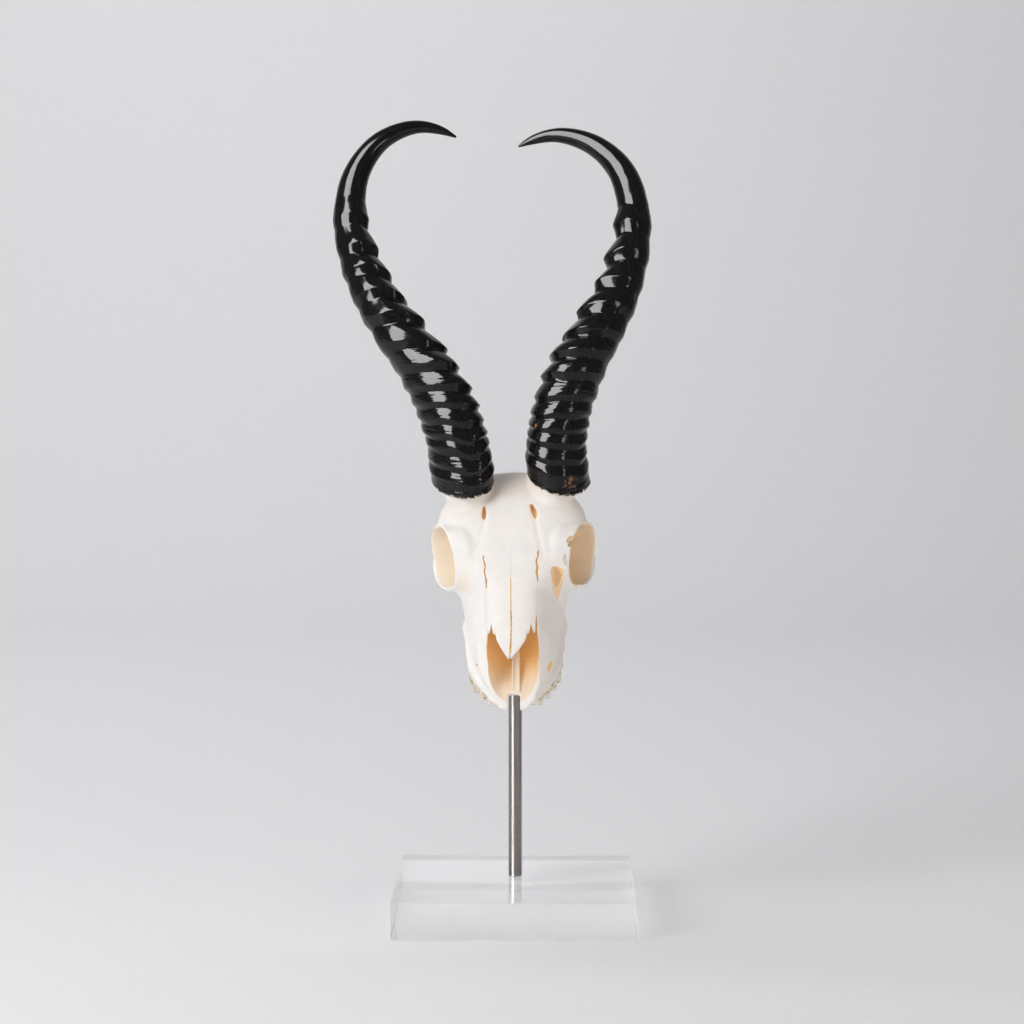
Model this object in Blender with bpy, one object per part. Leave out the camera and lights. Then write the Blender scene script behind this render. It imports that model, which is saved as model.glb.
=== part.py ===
"""Springbok ram skull without lower jaw, on a steel rod and a clear acrylic block, at life size.

Every size is in millimetres until a mesh is made. The block and the rod stand in the model's own
frame: +Z up, X to the viewer's right, Y away from the viewer. The bones are shaped in the skull's
frame: x to the side, s back along the palate from the tip of the missing premaxillae, h up from
the palate. The skull's frame is then pitched nose-down on the rod.
"""

import math

import bmesh
import bpy
import numpy as np
from mathutils import Euler, Matrix, Vector

MM = 0.001
GAP = 0.3

# Stand
BLOCK_SIDE = 160.0
BLOCK_THICK = 24.5
BLOCK_BEVEL = 0.6
ROD_RADIUS = 4.5
ROD_Y = 10.0
ROD_TOP = 246.0
ROD_SIDES = 32

# Pose of the skull: the rod crosses its palate at ROD_STATION
ROD_STATION = 130.2
SEAT = Vector((0.0, ROD_Y, 201.2))
PITCH = math.radians(35.5)
ROLL = math.radians(1.4)
YAW = math.radians(1.0)

# Horns, in the model's frame: x, y, z and half-width at stations from the rim to the tip
HORN_LEFT = (
    (-35.0, -2.0, 294.3, 21.3),
    (-37.7, -3.9, 316.2, 20.7),
    (-45.4, -3.7, 341.6, 19.8),
    (-59.3, 0.4, 366.9, 18.4),
    (-78.1, 9.9, 392.6, 16.7),
    (-94.8, 22.7, 417.3, 15.1),
    (-107.2, 37.2, 443.6, 13.3),
    (-113.1, 51.9, 472.3, 11.4),
    (-107.9, 64.9, 502.0, 9.2),
    (-90.1, 73.7, 523.9, 6.9),
    (-66.0, 78.2, 531.9, 4.8),
    (-50.3, 79.4, 529.0, 3.2),
    (-41.4, 79.7, 525.0, 1.2),
)
HORN_RIGHT = (
    (28.6, -2.0, 296.5, 20.6),
    (27.7, -3.8, 316.7, 19.8),
    (31.5, -3.8, 342.0, 19.3),
    (41.6, -0.2, 368.2, 18.5),
    (56.8, 8.7, 395.4, 16.8),
    (70.0, 21.0, 421.3, 14.9),
    (78.3, 35.2, 448.7, 13.1),
    (79.5, 49.6, 477.0, 11.4),
    (70.2, 62.3, 503.6, 9.5),
    (49.7, 71.6, 520.8, 7.4),
    (25.6, 76.9, 526.0, 5.2),
    (10.2, 78.8, 522.5, 3.4),
    (1.4, 79.5, 518.5, 1.2),
)
HORNS = {"horn_left": HORN_LEFT, "horn_right": HORN_RIGHT}
HORN_SIDES = 18
HORN_DEPTH_RATIO = 1.12
# The side on which the rings stand out most, turned from the inner side to the front
RING_FACING = math.radians(20.0)
# Slope of a sheath's rim: lower in front, and lower on its outer side
RIM_LEAN = 0.5
RIM_TILT = {"horn_left": 0.12, "horn_right": 0.22}
RIM_LEAN_LENGTH = 48.0
# Distances of the ring crests from the rim, and how far the rings fade out above the last
RING_CRESTS = {
    "horn_left": (8.4, 16.3, 25.8, 32.6, 41.5, 51.8, 64.0, 78.8, 95.5, 118.0, 138.2, 158.8, 178.8, 203.0),
    "horn_right": (11.0, 19.5, 28.0, 35.5, 43.2, 54.0, 69.0, 83.2, 99.0, 118.8, 140.0, 160.5, 185.0),
}
RING_LAST = 206.0
RING_FADE = 21.0
# Low sections lean: their inner side stands further forward
SECTION_SHEAR = {"horn_left": 0.27, "horn_right": 0.09}
SECTION_SHEAR_ENDS = (76.0, 100.0)
RING_HEIGHT = (1.6, 4.0)
RING_HEIGHT_GROWS = (25.0, 85.0)

# Skull outline: height of the dorsal midline over the palate at stations back from the nose
DORSAL_LINE = (
    (40.0, 31.0), (53.5, 34.7), (76.0, 43.6), (91.5, 49.8), (105.0, 57.0), (120.0, 66.0),
    (135.0, 73.6), (148.0, 78.8), (160.0, 81.6), (170.0, 82.6), (178.0, 82.3), (184.0, 80.6),
    (190.0, 76.6), (200.0, 66.0), (210.0, 54.0), (216.0, 44.0),
)
# Face: station, half-width low, half-width high
FACE = (
    (40.0, 10.5, 12.0), (46.0, 13.5, 14.5), (54.0, 17.5, 17.5), (64.0, 24.0, 19.0),
    (76.0, 29.5, 20.0), (90.0, 33.2, 21.5), (105.0, 35.8, 23.0), (120.0, 37.5, 27.0),
    (134.0, 36.5, 28.0), (139.0, 30.0, 22.0),
)
FACE_LOW = -3.5
# Frontals and orbits: station, half-width, height where the side is widest
FRONTAL = (
    (104.0, 22.0, 40.0), (110.0, 29.0, 42.0), (117.0, 36.0, 45.0), (124.0, 40.0, 48.0),
    (132.0, 43.0, 51.0), (140.0, 46.0, 54.0), (148.0, 49.0, 56.0), (156.0, 49.5, 57.0),
    (162.0, 48.5, 58.0), (168.0, 44.0, 60.0), (176.0, 36.0, 60.0),
)
JUGAL_LOW = 20.0
# Braincase: station, half-width, lowest height
BRAINCASE = (
    (140.0, 14.0, 24.0), (150.0, 24.0, 20.0), (160.0, 31.0, 17.0), (170.0, 33.5, 15.0),
    (182.0, 34.5, 13.0), (194.0, 34.5, 12.0), (204.0, 32.0, 12.0), (211.0, 26.0, 15.0),
    (214.0, 18.0, 19.0),
)
ORBIT_CENTRE = (138.0, 47.6)
ORBIT_RADIUS = 21.0
ORBIT_SIDE = 47.2
ORBIT_FLARE_BACK = 8.4
ORBIT_FLARE_UP = -2.3
ORBIT_SQUARE = 2.7

# Openings
NASAL_CAVITY = (
    (34.0, 5.6, 2.0), (41.0, 7.4, 2.2), (46.0, 10.2, 2.4), (52.0, 12.9, 2.6), (58.0, 15.0, 2.8),
    (66.0, 15.9, 3.0), (78.0, 16.4, 3.0), (92.0, 16.6, 3.0), (106.0, 15.5, 4.0),
    (116.0, 12.0, 8.0), (121.0, 7.0, 14.0),
)
APERTURE_EDGE = ((41.0, -7.0), (41.5, 0.0), (48.0, 3.5), (56.0, 11.0), (66.0, 24.0), (77.5, 40.5))
# The aperture's edge runs straight across as far as this, then back by so much per millimetre
APERTURE_SIDE = 16.8
APERTURE_SWEEP = 1.3
PRONG_NOTCH_HALF = 3.9
PRONG_NOTCH_END = 53.4
PALATE_VAULT = (
    (36.0, 3.0), (50.0, 6.5), (60.0, 11.5), (80.0, 16.5), (100.0, 19.5), (118.0, 20.0), (142.0, 19.0),
)

# Nasal bones: station and half-width of the pair
NASALS = (
    (53.5, 0.8), (56.3, 3.2), (60.7, 6.0), (67.2, 9.5), (72.8, 12.6), (73.6, 14.7), (75.5, 15.4),
    (80.5, 15.9), (90.0, 16.7), (100.0, 17.1), (108.0, 16.8), (114.0, 14.6), (119.0, 10.0),
    (122.5, 4.5), (124.0, 2.0),
)
NASAL_BEND = 0.7
NASAL_TIP_BEND = 1.1
NASAL_THICK = 2.4
NASAL_ARCH = ((53.5, 30.0), (98.0, 36.0), (104.0, 48.0), (110.0, 80.0), (124.0, 110.0))
NASAL_SUTURE = 0.35

# Vomer: two plates beside the midline
VOMER_PLATES = (-0.9, 3.1)
VOMER_THICK = 1.0

# Cheek teeth: station of the crown, outer half-width, crown tip height, length along the row
TEETH = (
    (56.5, 18.0, -10.4, 6.6), (64.2, 23.0, -12.0, 7.6), (72.6, 27.4, -13.0, 8.2),
    (82.6, 30.8, -13.6, 11.0), (95.4, 32.2, -13.0, 13.6), (110.4, 33.4, -11.4, 15.2),
)
TOOTH_WIDTH = 9.0

SEAM_TOP = (124.0, 66.0)
SEAM_LOW = (137.0, -16.0)
CLAY_VOXEL = 1.3
BONE_VOXEL = 1.05
FACE_TRIANGLES = 3600
CRANIUM_TRIANGLES = 4600


def hermite(table, x):
    """Smooth values of a table at x, its first column being the place along it."""
    rows = np.array(table, float)
    at, values = rows[:, 0], rows[:, 1:]
    slopes = np.gradient(values, at, axis=0)
    x = np.clip(np.atleast_1d(np.asarray(x, float)), at[0], at[-1])
    i = np.clip(np.searchsorted(at, x) - 1, 0, len(at) - 2)
    width = (at[i + 1] - at[i])[:, None]
    t = ((x - at[i]) / (at[i + 1] - at[i]))[:, None]
    start, end = values[i], values[i + 1]
    tangent_in, tangent_out = slopes[i] * width, slopes[i + 1] * width
    return (
        start * (2 * t**3 - 3 * t**2 + 1)
        + tangent_in * (t**3 - 2 * t**2 + t)
        + end * (3 * t**2 - 2 * t**3)
        + tangent_out * (t**3 - t**2)
    )


def smoothstep(low, high, x):
    t = np.clip((np.asarray(x, float) - low) / (high - low), 0.0, 1.0)
    return t * t * (3.0 - 2.0 * t)


def dorsal(s):
    return float(hermite(DORSAL_LINE, s)[0, 0])


def skull_pose():
    """From the skull's frame to the model's, in millimetres."""
    turn = Euler((PITCH, -ROLL, -YAW), "XYZ").to_matrix().to_4x4()
    return Matrix.Translation(SEAT) @ turn @ Matrix.Translation((0.0, -ROD_STATION, 0.0))


def mesh_object(name, points, faces, helper=True):
    mesh = bpy.data.meshes.new(name)
    mesh.from_pydata([[c * MM for c in p] for p in points], [], faces)
    made = bpy.data.objects.new(name, mesh)
    bpy.context.scene.collection.objects.link(made)
    shell = bmesh.new()
    shell.from_mesh(mesh)
    bmesh.ops.recalc_face_normals(shell, faces=shell.faces)
    shell.to_mesh(mesh)
    shell.free()
    if helper:
        made.hide_render = True
        made.display_type = "WIRE"
    return made


def loft(name, rings, **options):
    """A closed skin through rings of equally many points, with a fan at each end."""
    count = len(rings[0])
    points = [tuple(p) for ring in rings for p in ring]
    faces = []
    for r in range(len(rings) - 1):
        for k in range(count):
            a, b = r * count + k, r * count + (k + 1) % count
            faces.append((a, b, b + count, a + count))
    for ring, step in ((rings[0], 0), (rings[-1], (len(rings) - 1) * count)):
        points.append(tuple(np.mean(np.array(ring, float), axis=0)))
        hub = len(points) - 1
        faces += [(step + k, step + (k + 1) % count, hub) for k in range(count)]
    return mesh_object(name, points, faces, **options)


def oval(s, low_half, high_half, low, high, square=2.6, count=28, x=0.0):
    """A ring across the skull at station s: a superellipse that may be wider low than high."""
    ring = []
    for k in range(count):
        angle = 2 * math.pi * k / count
        across = math.copysign(abs(math.cos(angle)) ** (2 / square), math.cos(angle))
        up = math.copysign(abs(math.sin(angle)) ** (2 / square), math.sin(angle))
        half = low_half + (high_half - low_half) * (up + 1) / 2
        ring.append((x + half * across, s, (low + high) / 2 + (high - low) / 2 * up))
    return ring


def stations(table, step):
    return np.arange(table[0][0], table[-1][0] + step / 2, step)


def tube(name, path, radii, count=14):
    """A tapered round tube through points, whose radii are (side, up) pairs."""
    path = [Vector(p) for p in path]
    rings = []
    for i, point in enumerate(path):
        along = (path[min(i + 1, len(path) - 1)] - path[max(i - 1, 0)]).normalized()
        side = along.cross(Vector((0.0, 0.0, 1.0)))
        side = side.normalized() if side.length > 0.2 else Vector((1.0, 0.0, 0.0))
        up = side.cross(along).normalized()
        side_radius, up_radius = radii[i]
        turns = [2 * math.pi * k / count for k in range(count)]
        rings.append(
            [point + side * side_radius * math.cos(a) + up * up_radius * math.sin(a) for a in turns]
        )
    return loft(name, rings)


def ball(name, centre, radii):
    shell = bmesh.new()
    bmesh.ops.create_icosphere(shell, subdivisions=3, radius=1.0)
    points = [[c + r * v for c, r, v in zip(centre, radii, vertex.co)] for vertex in shell.verts]
    faces = [[vertex.index for vertex in face.verts] for face in shell.faces]
    shell.free()
    return mesh_object(name, points, faces)


def apply_modifiers(thing):
    bpy.context.view_layer.update()
    graph = bpy.context.evaluated_depsgraph_get()
    mesh = bpy.data.meshes.new_from_object(thing.evaluated_get(graph))
    thing.modifiers.clear()
    thing.data = mesh


def boolean(thing, others, operation):
    """One Boolean with all the other objects, which are then removed."""
    group = bpy.data.collections.new(thing.name + "_" + operation.lower())
    bpy.context.scene.collection.children.link(group)
    for other in others:
        bpy.context.scene.collection.objects.unlink(other)
        group.objects.link(other)
    modifier = thing.modifiers.new(operation.title(), "BOOLEAN")
    modifier.operation = operation
    modifier.operand_type = "COLLECTION"
    modifier.collection = group
    modifier.solver = "EXACT"
    apply_modifiers(thing)
    for other in others:
        bpy.data.objects.remove(other)
    bpy.data.collections.remove(group)


def remesh(thing, voxel, rounds):
    modifier = thing.modifiers.new("Remesh", "REMESH")
    modifier.mode = "VOXEL"
    modifier.voxel_size = voxel * MM
    smooth = thing.modifiers.new("Smooth", "SMOOTH")
    smooth.factor = 0.5
    smooth.iterations = rounds
    apply_modifiers(thing)


def decimate(thing, triangles):
    shell = bmesh.new()
    shell.from_mesh(thing.data)
    bmesh.ops.triangulate(shell, faces=shell.faces)
    shell.to_mesh(thing.data)
    shell.free()
    modifier = thing.modifiers.new("Decimate", "DECIMATE")
    modifier.ratio = min(1.0, triangles / len(thing.data.polygons))
    apply_modifiers(thing)


def keep_largest(thing):
    """Keeps only the largest surface whose faces join edge to edge."""
    shell = bmesh.new()
    shell.from_mesh(thing.data)
    left = set(shell.faces)
    largest = set()
    while left:
        patch, edge = set(), [left.pop()]
        while edge:
            face = edge.pop()
            patch.add(face)
            for side in face.edges:
                for other in side.link_faces:
                    if other in left and len(side.link_faces) == 2:
                        left.discard(other)
                        edge.append(other)
        if len(patch) > len(largest):
            largest = patch
    bmesh.ops.delete(shell, geom=[f for f in shell.faces if f not in largest], context="FACES")
    bmesh.ops.recalc_face_normals(shell, faces=shell.faces)
    shell.to_mesh(thing.data)
    shell.free()


def material(name, colour, roughness, metallic=0.0, transmission=0.0):
    made = bpy.data.materials.new(name)
    made.use_nodes = True
    shader = made.node_tree.nodes["Principled BSDF"]
    shader.inputs["Base Color"].default_value = (*colour, 1.0)
    shader.inputs["Roughness"].default_value = roughness
    shader.inputs["Metallic"].default_value = metallic
    shader.inputs["Transmission Weight"].default_value = transmission
    return made


def finish(thing, name, finish_material, smooth_angle=40.0):
    thing.name = name
    thing.data.name = name
    thing.hide_render = False
    thing.display_type = "TEXTURED"
    thing.data.materials.clear()
    thing.data.materials.append(finish_material)
    thing.data.shade_smooth()
    thing.data.set_sharp_from_angle(angle=math.radians(smooth_angle))


def pose(thing):
    """Sets a bone on the rod, through an empty that stands for the skull's seat."""
    thing.parent = bpy.data.objects["skull_seat"]
    thing.location = (0.0, -ROD_STATION * MM, 0.0)


def skull_seat():
    seat = bpy.data.objects.new("skull_seat", None)
    seat.location = SEAT * MM
    seat.rotation_euler = (PITCH, -ROLL, -YAW)
    bpy.context.scene.collection.objects.link(seat)


def stand_base():
    shell = bmesh.new()
    bmesh.ops.create_cube(shell, size=1.0)
    bmesh.ops.scale(shell, verts=shell.verts, vec=Vector((BLOCK_SIDE, BLOCK_SIDE, BLOCK_THICK)) * MM)
    bmesh.ops.translate(shell, verts=shell.verts, vec=(0.0, 0.0, BLOCK_THICK / 2 * MM))
    mesh = bpy.data.meshes.new("stand_base")
    shell.to_mesh(mesh)
    shell.free()
    block = bpy.data.objects.new("stand_base", mesh)
    bpy.context.scene.collection.objects.link(block)
    bevel = block.modifiers.new("Bevel", "BEVEL")
    bevel.width = BLOCK_BEVEL * MM
    bevel.segments = 2
    finish(block, "stand_base", material("clear_acrylic", (0.95, 0.97, 0.98), 0.02, 0.0, 1.0))


def rod_solid(name, radius, low, high):
    turns = [2 * math.pi * k / ROD_SIDES for k in range(ROD_SIDES)]
    rings = [
        [(radius * math.cos(a), ROD_Y + radius * math.sin(a), z) for a in turns] for z in (low, high)
    ]
    return loft(name, rings)


def stand_rod():
    rod = rod_solid("stand_rod", ROD_RADIUS, BLOCK_THICK + GAP, ROD_TOP)
    finish(rod, "stand_rod", material("brushed_steel", (0.62, 0.6, 0.58), 0.3, 1.0))


def horn_rows(length, crests):
    """(place, ring height from 0 to 1) of each row: crest, flank and groove for each ring."""
    rows = [(0.0, 0.5), (0.45 * crests[0], 0.2)]
    for crest, following in zip(crests, crests[1:] + (crests[-1] + RING_FADE,)):
        step = following - crest
        rows += [(crest, 1.0), (crest + 0.3 * step, 0.77), (crest + 0.62 * step, 0.0)]
    last = rows[-1][0]
    count = 13
    rows += [(last + (length - last) * (k / count) ** 0.9, 0.0) for k in range(1, count + 1)]
    return rows


def horn(name, grow=0.0, reach=None):
    """A ringed horn sheath. Its rings stand out most on the inner side, and run level across."""
    table = HORNS[name]
    centres = np.array([row[:3] for row in table])
    along = np.concatenate([[0.0], np.cumsum(np.linalg.norm(np.diff(centres, axis=0), axis=1))])
    knots = np.column_stack([along, centres, [row[3] for row in table]])
    length = along[-1]
    inward = 1.0 if centres[0, 0] < 0 else -1.0
    rim_normal = Vector((-inward * RIM_TILT[name], -RIM_LEAN, 1.0)).normalized()
    rings = []
    for place, height in horn_rows(length, RING_CRESTS[name]):
        if reach is not None and place > reach:
            break
        here = hermite(knots, place)[0]
        ahead, behind = hermite(knots, [place + 1.0, place - 1.0])[:, :3]
        axis = Vector(ahead - behind).normalized()
        level = 1 - float(smoothstep(RING_LAST, RING_LAST + 50.0, place))
        normal = Vector((axis.x * (1 - level), axis.y, axis.z)).normalized()
        normal = rim_normal.lerp(normal, float(smoothstep(0.0, RIM_LEAN_LENGTH, place))).normalized()
        side = Vector((0.0, 1.0, 0.0)).cross(axis).normalized() * inward
        front = axis.cross(side).normalized()
        front = front if front.y < 0 else -front
        grown = float(smoothstep(*RING_HEIGHT_GROWS, place))
        crest = RING_HEIGHT[0] + (RING_HEIGHT[1] - RING_HEIGHT[0]) * grown
        crest *= 1 - 0.7 * float(smoothstep(170.0, RING_LAST + 15.0, place))
        shear = SECTION_SHEAR[name] * (1 - float(smoothstep(*SECTION_SHEAR_ENDS, place)))
        ring = []
        for k in range(HORN_SIDES):
            turn = 2 * math.pi * k / HORN_SIDES
            strength = 1 - (0.25 + 0.45 * grown) * (0.5 - 0.5 * math.cos(turn - RING_FACING))
            radius = here[3] - 0.4 * crest + crest * height * strength + grow
            depth = 1 + (HORN_DEPTH_RATIO - 1) * (1 - place / length)
            deep = math.sin(turn) * depth + math.cos(turn) * shear
            out = (side * math.cos(turn) + front * deep) * radius
            drop = -normal.dot(out) / normal.dot(axis)
            ring.append(Vector(here[:3]) + out + axis * drop)
        if place == 0.0:
            ring = [p - normal * grow for p in ring]
        rings.append(ring)
    return loft(name, rings)


def face_clay():
    rings = []
    for s in stations(FACE, 4.0):
        low_half, high_half = hermite(FACE, s)[0]
        rings.append(oval(s, low_half, high_half, FACE_LOW, dorsal(s) - 0.5, square=3.2))
    return loft("face_clay", rings)


def alveolar_clay(side):
    """The swollen bone along the roots of the cheek teeth."""
    path, radii = [(side * 10.5, 47.0, 0.5)], [(4.0, 3.0)]
    for s, outer, _tip, _length in TEETH:
        path.append((side * (outer - TOOTH_WIDTH / 2 - 0.3), s, -0.5))
        radii.append((TOOTH_WIDTH / 2 + 0.9, 4.5))
    path.append((side * 30.5, 121.0, 0.0))
    radii.append((5.0, 5.0))
    path.append((side * 29.0, 129.0, 3.0))
    radii.append((3.5, 4.0))
    return tube("alveolar_clay", path, radii)


def frontal_clay():
    rings = []
    for s in stations(FRONTAL, 4.0):
        half, widest = hermite(FRONTAL, s)[0]
        above = oval(s, half, half, 2 * widest - dorsal(s), dorsal(s), square=2.9, count=40)
        below = oval(s, half, half, JUGAL_LOW, 2 * widest - JUGAL_LOW, square=4.5, count=40)
        rings.append(above[:20] + below[20:])
    return loft("frontal_clay", rings)


def braincase_clay():
    rings = []
    for s in stations(BRAINCASE, 4.0):
        half, low = hermite(BRAINCASE, s)[0]
        rings.append(oval(s, half * 0.92, half * 0.86, low, dorsal(s) - 0.5, square=2.8))
    return loft("braincase_clay", rings)


def orbit_share(angle):
    """The squared outline of an orbit: its share of the radius, 1 at its level top and bottom."""
    turned = angle - math.pi / 4
    total = abs(math.cos(turned)) ** ORBIT_SQUARE + abs(math.sin(turned)) ** ORBIT_SQUARE
    return total ** (-1 / ORBIT_SQUARE)


def orbit_rim(angle, radius=ORBIT_RADIUS, lift=0.0):
    """A point of the orbit's rim on the +x side: angle 0 backward, 90 degrees up."""
    s, h = ORBIT_CENTRE
    radius *= orbit_share(angle)
    out = ORBIT_SIDE + ORBIT_FLARE_BACK * math.cos(angle) + ORBIT_FLARE_UP * math.sin(angle)
    return (out + lift, s + radius * math.cos(angle), h + radius * math.sin(angle))


def rim_clay(side):
    """The raised rim of an orbit: a closed ring of round section."""
    count, around = 40, 10
    points, faces = [], []
    for i in range(count):
        angle = 2 * math.pi * i / count
        x, s, h = orbit_rim(angle, ORBIT_RADIUS + 1.2, -3.4)
        thick = 2.4 + 0.8 * math.cos(angle)
        for k in range(around):
            turn = 2 * math.pi * k / around
            reach = thick * math.cos(turn)
            points.append(
                (
                    side * (x + thick * math.sin(turn)),
                    s + reach * math.cos(angle),
                    h + reach * math.sin(angle),
                )
            )
            a, b = i * around + k, i * around + (k + 1) % around
            c = ((i + 1) % count) * around
            faces.append((a, b, c + (k + 1) % around, c + k))
    return mesh_object("rim_clay", points, faces)


def arch_clay(side):
    """Zygomatic arch, from the cheek under the orbit back to the ear."""
    path = [(41, 125, 31.5), (47.5, 136, 27), (50.5, 146, 25.5), (51.5, 156, 26), (49.5, 167, 28.5),
            (45, 179, 29.5), (38, 188, 29.5), (30, 194, 29)]
    radii = [(4.4, 4.4), (4.2, 4.2), (3.8, 4.0), (3.4, 4.4), (3, 4.2), (3.2, 4), (4, 4.4), (5, 5)]
    return tube("arch_clay", [(side * x, s, h) for x, s, h in path], radii)


def base_clay():
    """Keel of the skull's base, its plates beside the choanae, and the occipital pieces."""
    made = [
        loft(
            "keel_clay",
            [
                oval(s, half, half, low, low + 22.0, square=2.6, count=20)
                for s, half, low in (
                    (146, 9, 17), (158, 9, 15), (172, 9, 12), (186, 10, 9), (200, 12, 8), (210, 14, 10),
                )
            ],
        ),
        loft(
            "choana_clay",
            [
                oval(s, half, half, low, 34.0, square=3.6, count=24)
                for s, half, low in (
                    (112, 13, 0), (120, 13.5, -1), (134, 13, -1), (146, 12, 3), (154, 10, 10),
                )
            ],
        ),
    ]
    for side in (-1, 1):
        made += [
            ball("condyle_clay", (side * 10.5, 210.5, 14), (7.2, 8, 9.2)),
            ball("bulla_clay", (side * 19.5, 188, 9), (7, 11, 9)),
            tube(
                "paroccipital_clay",
                [(side * 25, 204, 22), (side * 25.5, 205, 8), (side * 24.5, 203, -5), (side * 24, 202, -10)],
                [(4.5, 8), (3.2, 6), (2.4, 4), (1.4, 2)],
            ),
            tube(
                "nuchal_clay",
                [
                    (side * 30, 196, 24), (side * 32, 199, 36), (side * 27, 206, 49),
                    (side * 14, 211, 54.5), (0, 212, 55.5),
                ],
                [(2.6, 3), (2.8, 3.4), (2.8, 3.2), (2.6, 3), (2.6, 3)],
            ),
        ]
    return made


def pedicle_clay(table, to_skull):
    """The bony stub that a horn sheath sits on."""
    rim = Vector(table[0][:3])
    half = table[0][3]
    axis = Vector((0.0, -RIM_LEAN, 1.0)).normalized()
    side = Vector((1.0, 0.0, 0.0))
    front = axis.cross(side)
    rings = []
    inward = 1.0 if rim.x < 0 else -1.0
    for down, share in ((-4.0, 0.84), (2.0, 0.93), (7.0, 0.98), (14.0, 0.98), (28.0, 0.9)):
        ring = []
        for k in range(24):
            turn = 2 * math.pi * k / 24
            out = side * math.cos(turn) + front * math.sin(turn) * HORN_DEPTH_RATIO
            out *= 1.0 - 0.16 * max(0.0, -inward * math.cos(turn))
            centre = rim - axis * down + side * inward * 0.5 * max(down, 0.0)
            ring.append(to_skull @ (centre + out * half * share))
        rings.append(ring)
    return loft("pedicle_clay", rings)


def orbit_cutter(side):
    """The hollow of an orbit, open to the side and, deep in, to the temporal fossa."""
    rings = []
    for lift, radius, back, scale in (
        (12.0, 22.5, 0.0, 1.0), (3.0, 20.2, 0.0, 1.0), (-4.0, 19.2, 0.5, 1.0),
        (-10.0, 18.6, 1.5, 0.9), (-18.0, 17.0, 3.0, 0.6), (-25.0, 12.0, 5.0, 0.2),
        (-29.0, 5.0, 7.0, 0.0),
    ):
        ring = []
        for k in range(32):
            angle = 2 * math.pi * k / 32
            x, s, h = orbit_rim(angle, radius, lift)
            x = ORBIT_SIDE + lift + (x - lift - ORBIT_SIDE) * scale
            ring.append((side * x, s + back, h - back * 0.3))
        rings.append(ring)
    return loft("orbit_cutter", rings)


def fossa_cutters(side):
    """Temporal fossa behind the orbit's bar, and the open floor between arch and palate."""
    temporal = [
        (163.5, 53.0, 13.0, 24.0, 66.0), (167.0, 54.0, 19.0, 14.0, 71.0), (176.0, 54.0, 20.5, 10.0, 70.0),
        (186.0, 53.0, 19.0, 14.0, 63.0), (193.0, 52.0, 16.0, 24.0, 52.0),
    ]
    passage = [
        (146.0, 30.0, 6.0, 36.0, 56.0), (156.0, 30.0, 6.5, 34.0, 60.0), (167.0, 37.0, 7.0, 32.0, 62.0),
    ]
    turns = [2 * math.pi * k / 20 for k in range(20)]
    floor_rings = [
        [(side * (25.0 + r * math.cos(a)), s + 3.0 + 1.2 * r * math.sin(a), h) for a in turns]
        for h, s, r in ((4.0, 151.0, 12.0), (18.0, 149.0, 11.0), (30.0, 145.0, 10.5), (40.0, 142.0, 10.0))
    ]
    return [
        loft("temporal_cutter", [oval(s, w, w, lo, hi, 3.0, 28, side * x) for s, x, w, lo, hi in temporal]),
        loft("passage_cutter", [oval(s, w, w, lo, hi, 2.2, 20, side * x) for s, x, w, lo, hi in passage]),
        loft("floor_cutter", floor_rings),
    ]


def skin(name, rings):
    """A closed solid through rings of equally many points, with a flat face at each end."""
    count = len(rings[0])
    points = [tuple(p) for ring in rings for p in ring]
    faces = [tuple(range(count)), tuple(range(len(points) - count, len(points)))]
    for r in range(len(rings) - 1):
        for k in range(count):
            a, b = r * count + k, r * count + (k + 1) % count
            faces.append((a, b, b + count, a + count))
    return mesh_object(name, points, faces)


def prism(name, outline, half_width):
    """An outline in the (s, h) plane drawn out to both sides."""
    return skin(name, [[(x, s, h) for s, h in outline] for x in (-half_width, half_width)])


def nasal_cutter():
    rings = []
    for s in stations(NASAL_CAVITY, 3.0):
        half, low = hermite(NASAL_CAVITY, s)[0]
        high = max(dorsal(s) - 0.5, low + 3.0)
        high = min(high, 57.0 - 2.0 * max(0.0, s - 104.0))
        rings.append(oval(s, half, half * 0.96, low, high, square=3.4, count=28))
    return loft("nasal_cutter", rings)


def front_cutters():
    """The slanting front of the maxillae, swept back at the sides, and the notch between their prongs."""
    rings = []
    for x in (-60.0, -APERTURE_SIDE, APERTURE_SIDE, 60.0):
        back = APERTURE_SWEEP * (abs(x) - APERTURE_SIDE)
        edge = [(x, s + back, h) for s, h in APERTURE_EDGE]
        rings.append(edge + [(x, APERTURE_EDGE[-1][0] + back, 90.0), (x, 10.0, 90.0), (x, 10.0, -7.0)])
    notch = [(30.0, -12.0), (PRONG_NOTCH_END, -12.0), (PRONG_NOTCH_END, 8.0), (30.0, 8.0)]
    return [skin("aperture_cutter", rings), prism("notch_cutter", notch, PRONG_NOTCH_HALF)]


def base_cutters():
    """The choanae, the vault of the palate, and the foramen magnum."""
    choana = [
        oval(s, half, half, low, high, square=3.2, count=20)
        for s, half, low, high in (
            (106, 6, 6, 12), (116, 8, 5, 14), (121, 9, -22, 15), (130, 9.3, -22, 19), (142, 9, -22, 22),
            (150, 7.5, -14, 20),
        )
    ]
    vault = []
    for s in stations(PALATE_VAULT, 4.0):
        half = float(hermite(PALATE_VAULT, s)[0, 0])
        vault.append(oval(s, half, half, -24.0, -0.4, square=3.0, count=24))
    turns = [2 * math.pi * k / 18 for k in range(18)]
    magnum = [[(9.0 * math.cos(a), s, 25.0 + 8.5 * math.sin(a)) for a in turns] for s in (190.0, 226.0)]
    return [loft("choana_cutter", choana), loft("vault_cutter", vault), loft("magnum_cutter", magnum)]


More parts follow.
